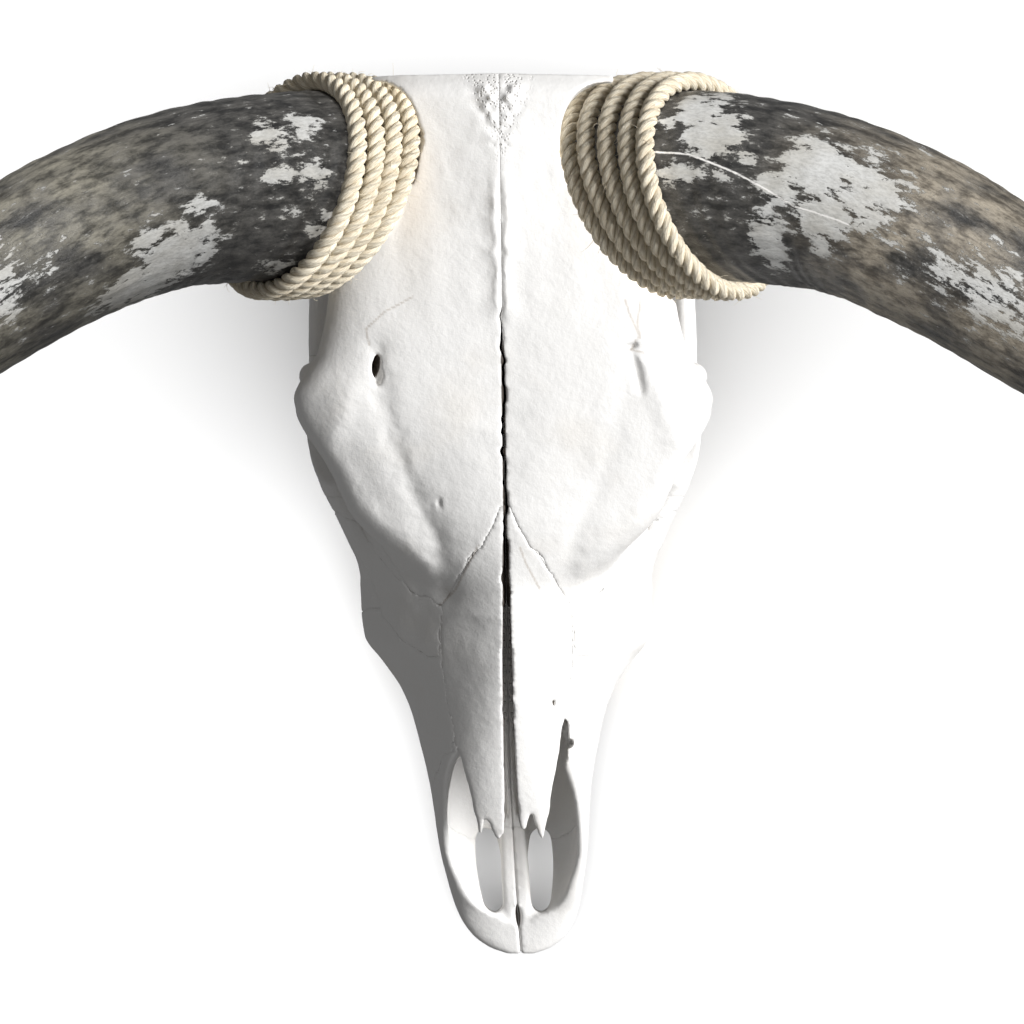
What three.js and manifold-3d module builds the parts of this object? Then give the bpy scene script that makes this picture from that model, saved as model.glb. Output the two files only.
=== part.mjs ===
// A longhorn cow skull without its lower jaw, with both horns, and rope wound round the horn roots.
// Units are millimetres, +Z is up. The skull lies forehead up on its cheek teeth and on the two
// processes beside the neck joint. The muzzle points along -Y and the horns spread along X.
import * as THREE from "three";
import { mergeVertices } from "three/addons/utils/BufferGeometryUtils.js";
import Module from "manifold-3d";

const wasm = await Module();
wasm.setup();

// ---------------------------------------------------------------- driving dimensions
const POLL_Y = 272; // rear edge of the skull, between the horns
const MUZZLE_Y = -288; // front edge of the skull
const GAP = 0.3; // clearance between neighbouring pieces, and the width of a suture
const WELD = 0.01; // corners nearer than this are one
const SLIVER = 0.005; // facets thinner than this are turned away
const ORIGIN_SHIFT = [3.8, 5.9, 0]; // carries the modelling frame to the centre of the whole part's box
const SIDES = { left: -1, right: 1 };

// The skull leans a little to one side: a steady lean, and a bend of the last third of the snout.
const LEAN = { offset: 1.9, slope: -0.0145, bend: 1.7e-4, bendFrom: -100 };

// Lengthwise bodies, as stations along Y: half width, height of the crown, of the widest line and of
// the underside, and how full the rounding is above and below (2 is an ellipse, more is squarer).
const ROOF = {
  halfWidth: [[-52, 20], [-30, 62], [-4, 94], [28, 108], [50, 124], [71, 131], [100, 116], [140, 108],
    [250, 104], [POLL_Y, 84]],
  crown: [[-52, 150], [-30, 170], [0, 184], [60, 201], [120, 207], [200, 210], [257, 209],
    [POLL_Y, 198]],
  widest: [[-52, 140], [-4, 152], [28, 166], [60, 172], [100, 176], [200, 178], [POLL_Y, 172]],
  under: [[-52, 120], [0, 124], [60, 136], [200, 140], [POLL_Y, 138]],
  upper: 3,
  lower: 2,
};
const FACE = {
  halfWidth: [[MUZZLE_Y, 9], [-284, 20], [-275, 31], [-262, 38.5], [-246, 43], [-218, 48], [-186, 51],
    [-134, 61.5], [-115, 68.5], [-97, 80], [-80, 92], [-58, 94], [-28, 94], [-8, 92], [14, 84], [36, 66]],
  crown: [[MUZZLE_Y, 36], [-262, 46], [-240, 76], [-212, 111], [-134, 140], [-75, 162], [-30, 176],
    [0, 184], [36, 186]],
  widest: [[MUZZLE_Y, 31], [-262, 34], [-212, 50], [-134, 56], [-75, 66], [-30, 80], [14, 100],
    [36, 105]],
  under: [[MUZZLE_Y, 27], [-262, 24], [-218, 31], [-134, 34], [-100, 34], [36, 44]],
  upper: [[MUZZLE_Y, 2.5], [-212, 2.6], [-134, 1.9], [-95, 1.5], [-60, 1.4], [-20, 1.7], [36, 2.4]],
  lower: 3,
};
const CORE = {
  halfWidth: [[20, 76], [50, 62], [84, 56], [120, 58], [165, 72], [215, 84], [258, 76]],
  crown: [[20, 170], [120, 185], [258, 190]],
  widest: [[20, 108], [120, 112], [258, 112]],
  under: [[20, 44], [60, 56], [120, 60], [200, 50], [258, 62]],
  upper: 2.4,
  lower: 2.4,
};
// Top edge of the snout's side walls, ahead of the notch where the nasal bones come free.
const RIM = [[-300, 34], [-275, 40], [-262, 45], [-240, 62], [-218, 77], [-186, 96], [-160, 113],
  [-145, 134], [-138, 170]];
// Open nose: a trough between the walls, then a cavity under the nasal bones.
const NOSE = {
  halfWidth: [[-266, 10], [-258, 26], [-240, 34], [-218, 41], [-186, 43], [-160, 41], [-130, 33], [-60, 29],
    [-20, 22]],
  crown: [[-266, 110], [-212, 125], [-134, 146], [-75, 162], [-20, 150]],
  widest: [[-266, 60], [-134, 70], [-20, 100]],
  under: [[-266, 41], [-218, 41], [-134, 46], [-20, 70]],
  upper: [[-218, 2.6], [-134, 2]],
  lower: 3.5,
};

// Outlines seen from above, as [distance from the midline, Y].
const NASAL_BONE = [[1.6, -12], [17, -21], [24, -32], [41, -59], [41, -96], [35, -138], [28, -172],
  [23.5, -195], [21, -211], [17.5, -206], [15, -194], [12, -200], [9, -208], [5, -200], [3.4, -150],
  [3, -60]];
const NASAL_THICKNESS = 5.5;
const FRONTAL_EDGE = [[0, -12], [17, -21], [24, -32], [41, -59], [60, -50], [80, -28], [97, -6], [150, 20]];
const LACRIMAL_EDGE = [[41, -59], [44, -92], [66, -84], [88, -52], [104, -20], [150, 0]];
const CHEEK = { x: 66, front: -60, frontOut: -70, step: 10, rear: 92, rearOut: 104 }; // zygomatic bone
const PALATINE = { x: 34, front: -34 };
const BRAIN_WALL = [[46, 58], [34, 120], [34, 203]]; // between the sphenoid and a temporal bone

const ORBIT = { at: [120, 42, 143], size: [50, 33, 31], turn: [0.28, -0.3, 0.3] };
const ARCH = {
  path: [[84, -30, 84], [100, 2, 100], [112, 26, 108], [118, 60, 106], [117, 100, 98], [116, 140, 94],
    [104, 178, 94], [74, 204, 96]],
  wide: [[0, 11], [0.35, 8], [0.75, 7.5], [1, 18]],
  tall: [[0, 18], [0.3, 12], [0.45, 16], [0.6, 11], [1, 17]],
};
// Cheek teeth from the rearmost forward: the row nears the midline by a step a tooth.
const TEETH = {
  lengths: [31, 29, 26, 20, 18, 16],
  widths: [25, 27, 25, 22, 19, 15],
  rearY: 24,
  x: 62,
  step: 1.6,
  root: 46,
};
const PROCESS = { x: 62, y: 214, foot: 7, height: 70 }; // paracondylar process, which the skull stands on
const CONDYLE = { at: [31, 246, 64], size: [20, 20, 26], turn: [0.3, 0, 0.5] };
const MAGNUM_RADIUS = 18; // opening for the spinal cord
const NAPE = { tilt: 0.13, y: 273, z: 60, thickness: 120 }; // the rear of the skull is cut off flat here

// Bones and a point inside each; those off the midline come in pairs.
const BONES = {
  frontal: [60, 100, 190],
  nasal: [20, -100, 142],
  lacrimal: [75, -50, 104],
  zygomatic: [90, -20, 80],
  maxilla: [50, -90, 60],
  premaxilla: [22, -274, 32],
  palatine: [25, 20, 52],
  temporal: [50, 150, 80],
  sphenoid: [0, 120, 90],
  occipital: [0, 230, 126],
};
// Sutures that aren't seen from above: the heights of the undersides of four bones and the roots of the
// nasal bones, the places along Y of two cuts across the skull, and the sloping one of the snout.
const SUTURE = {
  frontal: 128,
  lacrimal: 98,
  zygomatic: 58,
  palatine: 60,
  nasal: 96,
  palate: 30,
  behindTeeth: BRAIN_WALL[0][1],
  nape: BRAIN_WALL.at(-1)[1],
  snout: [[-236, 10], [-142, 127]],
};

// Horns: the axis starts inside the skull and is given by two angles, in degrees, along its length.
const HORN = {
  length: 860,
  start: [68, 198.6, 138],
  shift: -3.8, // both horns sit a little to the left of the midline
  core: 2, // arc length where the stub of bone inside the root begins
  coreRadius: 55,
  from: 22, // arc length where the sheath begins
  drop: [[0, -15], [60, 0], [150, 13], [230, 27], [330, 35], [480, 30], [680, 8], [860, -14]], // to the front
  rise: [[0, 42], [80, 40], [180, 33], [320, 22], [500, 13], [680, 20], [860, 42]], // above level
  slant: [[0, 0.38], [115, 0.38], [210, 0]], // the rear of a section lies nearer the root, as a tangent
  radius: [[0, 60], [42, 60], [110, 57.6], [150, 55.2], [240, 52], [300, 49.5], [450, 43], [600, 34],
    [730, 23], [820, 12], [860, 2]],
  rings: 15,
  sides: 14,
};
const ROPE = {
  diameter: 11.4,
  pitch: { left: 12.9, right: 13.8 },
  firstTurn: { left: 39, right: 30 }, // arc length along the horn
  clearance: 2.6,
  turns: { left: 4, right: 5 },
  startAngle: 2.4, // out of sight under the horn
  room: 4, // free space between the rope and the bone round it
  stepsPerTurn: 12,
  sides: 5,
};

const COLOURS = { bone: 0xe9e6e0, horn: 0x5d5a56, rope: 0xc9b78f };

// ---------------------------------------------------------------- curves
/** A smooth curve through [position, value] pairs that never overshoots them, level past its ends. */
function through(pairs) {
  const n = pairs.length;
  const step = pairs.slice(1).map((p, i) => p[0] - pairs[i][0]);
  const slope = step.map((h, i) => (pairs[i + 1][1] - pairs[i][1]) / h);
  const tangent = pairs.map((_, i) => {
    if (i === 0 || i === n - 1) return slope[i === 0 ? 0 : n - 2];
    const product = slope[i - 1] * slope[i];
    return product <= 0 ? 0 : (2 * product) / (slope[i - 1] + slope[i]);
  });
  return (x) => {
    if (x <= pairs[0][0]) return pairs[0][1];
    if (x >= pairs[n - 1][0]) return pairs[n - 1][1];
    const i = pairs.findIndex((p) => p[0] > x) - 1;
    const h = step[i];
    const t = (x - pairs[i][0]) / h;
    const rise = pairs[i + 1][1] - pairs[i][1];
    const c = 3 * rise - h * (2 * tangent[i] + tangent[i + 1]);
    const d = h * (tangent[i] + tangent[i + 1]) - 2 * rise;
    return pairs[i][1] + t * (h * tangent[i] + t * (c + t * d));
  };
}

/** Every row of a table of stations as a curve; a bare number is the same at every station. */
const curves = (table) =>
  Object.fromEntries(Object.entries(table).map(([k, v]) => [k, Array.isArray(v) ? through(v) : () => v]));

/** Sideways lean of the skull at a place along Y. */
const lean = (y) => LEAN.offset + LEAN.slope * y + LEAN.bend * Math.min(0, y - LEAN.bendFrom) ** 2;

// ---------------------------------------------------------------- solids
/** A closed geometry as a manifold-3d solid. What belongs to the skull leans with it. */
function solid(geometry, leans = true) {
  const plain = new THREE.BufferGeometry()
    .setAttribute("position", geometry.getAttribute("position").clone())
    .setIndex(geometry.index);
  const p = plain.getAttribute("position");
  for (let i = 0; leans && i < p.count; i++) p.setX(i, p.getX(i) + lean(p.getY(i)));
  const merged = mergeVertices(plain, 1e-3);
  return new wasm.Manifold(
    new wasm.Mesh({
      numProp: 3,
      vertProperties: merged.getAttribute("position").array,
      triVerts: new Uint32Array(merged.index.array),
    }),
  );
}

/** Turns away each sliver, whose third corner lies on its long side, by swapping that diagonal. */
function withoutSlivers(facets, corners) {
  const owner = new Map();
  const note = (i) => facets[i].forEach((a, k) => owner.set(a + "," + facets[i][(k + 1) % 3], i));
  facets.forEach((_, i) => note(i));
  facets.forEach((facet, i) => {
    const [p, q, r] = facet.map((k) => corners[k]);
    const sides = [p.distanceTo(q), q.distanceTo(r), r.distanceTo(p)];
    const longest = Math.max(...sides);
    if (2 * new THREE.Triangle(p, q, r).getArea() > SLIVER * longest) return;
    const k = sides.indexOf(longest);
    const [a, b, c] = [facet[k], facet[(k + 1) % 3], facet[(k + 2) % 3]];
    const j = owner.get(b + "," + a);
    const d = facets[j].find((corner) => corner !== a && corner !== b);
    if (owner.has(c + "," + d) || owner.has(d + "," + c)) return;
    facets[i] = [a, d, c];
    facets[j] = [d, b, c];
    note(i);
    note(j);
    owner.delete(a + "," + b);
    owner.delete(b + "," + a);
  });
  return facets;
}

/** A manifold-3d solid as a geometry with one normal a face. */
function geometryOf(made) {
  const mesh = made.getMesh();
  const merged = mergeVertices(
    new THREE.BufferGeometry()
      .setAttribute("position", new THREE.BufferAttribute(new Float32Array(mesh.vertProperties), 3))
      .setIndex(new THREE.BufferAttribute(new Uint32Array(mesh.triVerts), 1)),
    WELD,
  );
  const position = merged.getAttribute("position");
  const corners = Array.from({ length: position.count }, (_, i) =>
    new THREE.Vector3().fromBufferAttribute(position, i));
  const facets = Array.from({ length: merged.index.count / 3 }, (_, i) =>
    [0, 1, 2].map((k) => merged.index.getX(3 * i + k)));
  const kept = withoutSlivers(facets.filter((facet) => new Set(facet).size === 3), corners);
  return merged.setIndex(kept.flat()).toNonIndexed();
}

/** The separate solids of one manifold-3d solid: facets that share a corner belong together. */
function separate(made) {
  const { vertProperties, triVerts } = made.getMesh();
  const leader = Array.from({ length: vertProperties.length / 3 }, (_, i) => i);
  const find = (i) => {
    while (leader[i] !== i) i = leader[i] = leader[leader[i]];
    return i;
  };
  for (let i = 0; i < triVerts.length; i += 3) {
    leader[find(triVerts[i + 1])] = find(triVerts[i]);
    leader[find(triVerts[i + 2])] = find(triVerts[i]);
  }
  const groups = new Map();
  for (let i = 0; i < triVerts.length; i += 3) {
    const key = find(triVerts[i]);
    groups.set(key, [...(groups.get(key) ?? []), ...triVerts.slice(i, i + 3)]);
  }
  return [...groups.values()].map((facets) =>
    new wasm.Manifold(new wasm.Mesh({ numProp: 3, vertProperties, triVerts: new Uint32Array(facets) })));
}

const union = (solids) => solids.reduce((a, b) => a.add(b));
const without = (made, solids) => solids.reduce((a, b) => a.subtract(b), made);
/** The same feature on both sides of the skull. */
const pair = (make) => make(-1).add(make(1));
const mirrored = (side, points) => points.map(([x, ...rest]) => [side * x, ...rest]);

/** A closed tube of rings: placeAt(t, cos, sin) gives a point of ring t; both are 0 on its axis. */
function ringed(rings, sides, placeAt) {
  const g = new THREE.CylinderGeometry(1, 1, 1, sides, rings);
  const p = g.getAttribute("position");
  const point = new THREE.Vector3();
  for (let i = 0; i < p.count; i++) {
    point.fromBufferAttribute(p, i);
    const r = Math.hypot(point.x, point.z) < 0.5 ? 0 : 1;
    p.setXYZ(i, ...placeAt(0.5 - point.y, r * point.z, r * point.x));
  }
  return g;
}

const power = (v, fullness) => Math.sign(v) * Math.abs(v) ** (2 / fullness);

/** A body along Y through a table's stations, with every section grown by a margin. */
function bodyAlongY(from, to, rings, sides, table, margin = 0) {
  const at = curves(table);
  return ringed(rings, sides, (t, c, s) => {
    const y = from + (to - from) * t;
    const middle = at.widest(y);
    const full = s >= 0 ? at.upper(y) : at.lower(y);
    const reach = (s >= 0 ? at.crown(y) - middle : middle - at.under(y)) + margin;
    return [(at.halfWidth(y) + margin) * power(c, full), y, middle + reach * power(s, full)];
  });
}

/** A bar along a smooth path, with an oval section: size(t) gives its radii across and along `up`. */
function bar(points, size, rings = 12, sides = 10, up = [0, 0, 1]) {
  const path = new THREE.CatmullRomCurve3(points.map((q) => new THREE.Vector3(...q)));
  return ringed(rings, sides, (t, c, s) => {
    const along = path.getTangentAt(t);
    const across = new THREE.Vector3(...up).cross(along).normalize();
    const normal = new THREE.Vector3().crossVectors(along, across);
    const [wide, tall] = size(t);
    return path.getPointAt(t).addScaledVector(across, s * wide).addScaledVector(normal, c * tall).toArray();
  });
}

function ellipsoid(at, size, turn = [0, 0, 0], segments = [10, 6]) {
  return new THREE.SphereGeometry(1, ...segments)
    .scale(...size)
    .applyMatrix4(new THREE.Matrix4().makeRotationFromEuler(new THREE.Euler(...turn)))
    .translate(...at);
}

/** A straight-sided prism over an outline in X and Y. */
function prism(outline, z0, z1) {
  const shape = new THREE.Shape(outline.map(([x, y]) => new THREE.Vector2(x, y)));
  return new THREE.ExtrudeGeometry(shape, { depth: z1 - z0, bevelEnabled: false }).translate(0, 0, z0);
}

/** A straight-sided prism over an outline in Y and Z, between two places along X. */
const sideOn = (outline, x0, x1) => prism(outline.map(([y, z]) => [-z, y]), x0, x1).rotateY(Math.PI / 2);

// ---------------------------------------------------------------- the skull as one body
function zygomaticArch(side) {
  const wide = through(ARCH.wide);
  const tall = through(ARCH.tall);
  return solid(bar(mirrored(side, ARCH.path), (t) => [wide(t), tall(t)], 9, 7));
}

function postorbitalBar(side) {
  const path = mirrored(side, [[112, 82, 176], [120, 86, 150], [119, 88, 112]]);
  return solid(bar(path, (t) => [10 - 3 * t, 9], 5, 8, [0, 1, 0]));
}

/** One row of cheek teeth, worn flat: the flats stand on the floor. */
function cheekTeeth(side) {
  let rear = TEETH.rearY;
  const teeth = TEETH.lengths.map((length, i) => {
    const y = rear - length / 2;
    const x = side * (TEETH.x - TEETH.step * i);
    rear -= length;
    // four corners, drawn in a little towards the worn end; the roots run into each other
    return solid(ringed(1, 4, (t, c, s) => {
      const flare = 0.53 - 0.06 * (1 - t);
      return [x + TEETH.widths[i] * flare * (s + c), y + length * flare * (c - s), TEETH.root * t];
    }));
  });
  return union(teeth);
}

function paracondylarProcess(side) {
  const path = [[PROCESS.height, 0], [30, 2], [-6, 0]].map(([z, out]) => [PROCESS.x + out, PROCESS.y, z]);
  const size = (t) => [PROCESS.foot + 8 * (1 - t) ** 2, PROCESS.foot + 14 * (1 - t)];
  return solid(bar(mirrored(side, path), size, 4, 8, [0, 1, 0]));
}

const condyle = (side) =>
  solid(ellipsoid([side * CONDYLE.at[0], CONDYLE.at[1], CONDYLE.at[2]], CONDYLE.size,
    [CONDYLE.turn[0], 0, side * CONDYLE.turn[2]]));
const earCapsule = (side) => solid(ellipsoid([side * 48, 182, 53], [11, 17, 18], [0, 0, 0], [8, 6]));

/** The thin plate that hangs beside the rear opening of the nose. */
function pterygoidPlate(side) {
  const path = [[25, 66, 62], [25, 80, 48], [24, 96, 32], [25, 108, 20]];
  return solid(bar(mirrored(side, path), (t) => [4, 20 - 13 * t], 5, 8));
}

const floorOfBrain = () =>
  solid(bar([[0, 96, 60], [0, 170, 52], [0, 244, 60]], (t) => [19 + 12 * t, 12], 3, 8));

/** What is open in the skull: eyes, temples, jaw muscles, nose, palate and the way of the spinal cord. */
function openings() {
  const orbit = (side) => {
    const [x, y, z] = ORBIT.at;
    const [pitch, roll, yaw] = ORBIT.turn;
    return solid(ellipsoid([side * x, y, z], ORBIT.size, [pitch, side * roll, -side * yaw]));
  };
  const temple = (side) => {
    const path = [[104, 102, 134], [103, 150, 134], [110, 200, 128], [132, 262, 122]];
    return solid(bar(mirrored(side, path), (t) => [30, 27 + 3 * t], 4, 8));
  };
  const jaw = (side) => {
    const path = [[88, 98, 60], [88, 122, 72], [87, 160, 72]];
    return solid(bar(mirrored(side, path), () => [18, 56], 3, 8));
  };
  const fissure = (side) => {
    const path = [[15, -259, 34], [16.5, -232, 36], [18, -208, 38]];
    const wide = through([[0, 2], [0.12, 7], [0.5, 8.5], [0.88, 7], [1, 2]]);
    return solid(bar(mirrored(side, path), (t) => [wide(t), 24], 5, 6));
  };
  const nape = new THREE.BoxGeometry(2 * FAR, NAPE.thickness, 2 * FAR)
    .applyMatrix4(new THREE.Matrix4().makeRotationX(-NAPE.tilt))
    .translate(0, NAPE.y + NAPE.thickness / 2, NAPE.z);
  return {
    beforeArches: [pair(temple), pair(jaw)],
    after: [
      pair(orbit), pair(fissure),
      solid(bodyAlongY(-266, -20, 7, 10, NOSE)).subtract(nasalRoom()),
      solid(bar([[0, -160, 25], [0, -60, 26], [0, 30, 30]], (t) => [25 + 15 * t, 12], 3, 8)),
      solid(bar([[0, 24, 50], [0, 66, 52], [0, 100, 48]], () => [18, 16], 2, 8)),
      solid(bar([[0, 212, 96], [0, 290, 86]], () => [MAGNUM_RADIUS, MAGNUM_RADIUS], 1, 10)),
      without(solid(nape, false), [pair(condyle)]),
      aboveRim(), nasalGap(),
    ],
  };
}

/** The face and snout, with every section grown by a margin. */
const face = (margin = 0) => solid(bodyAlongY(MUZZLE_Y, 36, 17, 14, FACE, margin));
/** All that lies over the undersides of the nasal bones, inside their outlines. */
const nasalRoom = () =>
  pair((side) => solid(prism(mirrored(side, NASAL_BONE), SUTURE.nasal - 6, TOP - 10)))
    .subtract(face(-NASAL_THICKNESS));

/** Everything over the edge of the snout's walls, except the nasal bones themselves. */
function aboveRim() {
  const above = sideOn([...RIM, [RIM.at(-1)[0], TOP], [RIM[0][0], TOP]], -FAR, FAR);
  return solid(above).subtract(nasalRoom());
}

/** The gap between the two nasal bones, wider towards their tips. */
function nasalGap() {
  const edge = [NASAL_BONE[0], ...NASAL_BONE.slice(-3).reverse(), [5, -215]];
  return solid(prism([...edge, ...mirrored(-1, edge).reverse()], SUTURE.nasal, TOP));
}

function wholeSkull() {
  const open = openings();
  const closed = union([
    solid(bodyAlongY(-52, POLL_Y, 12, 14, ROOF)),
    face(),
    solid(bodyAlongY(20, 258, 4, 10, CORE)),
    floorOfBrain(), pair(condyle), pair(earCapsule), pair(pterygoidPlate), pair(paracondylarProcess),
  ]);
  const framed = union([without(closed, open.beforeArches), pair(zygomaticArch), pair(postorbitalBar)]);
  const floor = new THREE.BoxGeometry(400, 700, 40).translate(0, 0, -20);
  return union([without(framed, open.after), pair(cheekTeeth), pair(hornCore)])
    .subtract(solid(floor, false));
}

// ---------------------------------------------------------------- horns and rope
const dropAt = through(HORN.drop);
const riseAt = through(HORN.rise);
const hornRadius = through(HORN.radius);
const slantAt = through(HORN.slant);
const AXIS_STEP = 5;

/** The horn's axis as points every few millimetres, for one side. */
function hornAxis(side) {
  const at = new THREE.Vector3(side * HORN.start[0] + HORN.shift, HORN.start[1], HORN.start[2]);
  const points = [at.clone()];
  for (let s = AXIS_STEP / 2; s < HORN.length; s += AXIS_STEP) {
    const drop = THREE.MathUtils.degToRad(dropAt(s));
    const rise = THREE.MathUtils.degToRad(riseAt(s));
    const level = Math.cos(rise) * AXIS_STEP;
    const [x, y] = [side * level * Math.cos(drop), -level * Math.sin(drop)];
    at.add(new THREE.Vector3(x, y, Math.sin(rise) * AXIS_STEP));
    points.push(at.clone());
  }
  return points;
}
const AXES = { [-1]: hornAxis(-1), 1: hornAxis(1) };

/** Place and cross directions of a horn's axis at an arc length. */
function axisFrame(side, s) {
  const points = AXES[side];
  const i = Math.min(points.length - 2, Math.max(0, Math.floor(s / AXIS_STEP)));
  const along = points[i + 1].clone().sub(points[i]).normalize();
  const at = points[i].clone().lerp(points[i + 1], s / AXIS_STEP - i);
  const across = new THREE.Vector3(0, 1, 0).addScaledVector(along, -along.y).normalize();
  return { at, along, across, normal: new THREE.Vector3().crossVectors(along, across) };
}

/** The point at an angle and a distance from the axis, in the slanted section at an arc length. */
function besideHorn(side, s, c, n, r) {
  const f = axisFrame(side, s);
  return f.at
    .addScaledVector(f.across, c * r)
    .addScaledVector(f.normal, n * r)
    .addScaledVector(f.along, -slantAt(s) * c * r);
}

/** A round body along a horn's axis between two arc lengths, with a radius at each. */
function alongHorn(side, from, to, rings, radius, sides = HORN.sides) {
  return solid(ringed(rings, sides, (t, c, s) => {
    const length = from + (to - from) * t;
    return besideHorn(side, length, s, c, radius(length)).toArray();
  }), false);
}

const horn = (side) => alongHorn(side, HORN.from, HORN.length - 0.5, HORN.rings, hornRadius);
/** The stub of bone inside the horn's root, which joins the skull to the sheath. */
const hornCore = (side, margin = 0) =>
  alongHorn(side, HORN.core - margin, HORN.from - GAP + margin, 1, () => HORN.coreRadius + margin, 10);
/** Room for the sheath, and for the rope round it, in the bone. */
const hornRoom = (side) => alongHorn(side, HORN.from, HORN.from + 110, 2, (s) => hornRadius(s) + GAP);
function ropeRoom(name, side) {
  const reach = ROPE.diameter / 2 + 1.5;
  const first = ROPE.firstTurn[name];
  const last = first + ROPE.pitch[name] * ROPE.turns[name];
  const radius = HORN.radius[0][1] + ROPE.clearance + ROPE.diameter + ROPE.room;
  return alongHorn(side, first - reach, last + reach, 3, () => radius, 12);
}

/** Rope wound round a horn, one turn beside the next. */
function rope(name, side) {
  const turns = ROPE.turns[name];
  const place = (t) => {
    const s = ROPE.firstTurn[name] + ROPE.pitch[name] * turns * t;
    const f = axisFrame(side, s);
    const angle = -side * (2 * Math.PI * turns * t + ROPE.startAngle);
    const [c, n] = [Math.cos(angle), Math.sin(angle)];
    const out = f.across.multiplyScalar(c).addScaledVector(f.normal, n);
    return { out, centre: besideHorn(side, s, c, n, hornRadius(s) + ROPE.diameter / 2 + ROPE.clearance) };
  };
  const path = new THREE.Curve();
  path.getPoint = (t, target = new THREE.Vector3()) => target.copy(place(t).centre);
  const radius = ROPE.diameter / 2;
  return solid(ringed(turns * ROPE.stepsPerTurn, ROPE.sides, (t, c, s) => {
    const { out, centre } = place(t);
    const along = path.getTangent(t);
    const across = new THREE.Vector3().crossVectors(out, along).normalize();
    const normal = new THREE.Vector3().crossVectors(along, across);
    return centre.addScaledVector(across, s * radius).addScaledVector(normal, c * radius).toArray();
  }), false);
}

// ---------------------------------------------------------------- sutures: thin cuts that part the bones
/** An upright cut along an open line seen from above, out to the far faces of level cuts at z0 and z1. */
function wallCut(line, z0, z1) {
  const walls = line.slice(1).map(([x, y], i) => {
    const [x0, y0] = line[i];
    const length = Math.hypot(x - x0, y - y0);
    return solid(new THREE.BoxGeometry(length + GAP, GAP, z1 - z0 + GAP)
      .rotateZ(Math.atan2(y - y0, x - x0))
      .translate((x + x0) / 2, (y + y0) / 2, (z0 + z1) / 2));
  });
  return union(walls);
}

/** A level cut over an outline seen from above. */
const levelCut = (outline, z) => solid(prism(outline, z - GAP / 2, z + GAP / 2));

/** A cut across the skull that slopes in Y and Z, between two places, of one width. */
function slopingCut([y0, z0], [y1, z1], x0, x1) {
  const length = Math.hypot(y1 - y0, z1 - z0);
  return solid(new THREE.BoxGeometry(x1 - x0, length, GAP)
    .rotateX(Math.atan2(z1 - z0, y1 - y0))
    .translate((x0 + x1) / 2, (y0 + y1) / 2, (z0 + z1) / 2), false);
}

// Reach of the cuts: past the side of the skull, past the nape and over the crown.
const FAR = 160;
const REAR = 300;
const TOP = 280;
const BROW = -80;
/** The underside of the frontal bones from the side: level under the brow, rising towards the poll. */
const frontalUnder = (shift = 0) =>
  [[BROW, 0], [SUTURE.nape, 0], [REAR, 60]].map(([y, rise]) => [y, SUTURE.frontal + rise + shift]);
const overFrontalUnder = () => solid(sideOn([...frontalUnder(), [REAR, TOP], [BROW, TOP]], -FAR, FAR));
/** All over that underside, and the two stubs inside the horns. */
const frontalRoom = () => overFrontalUnder().add(pair((side) => hornCore(side)));

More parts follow.
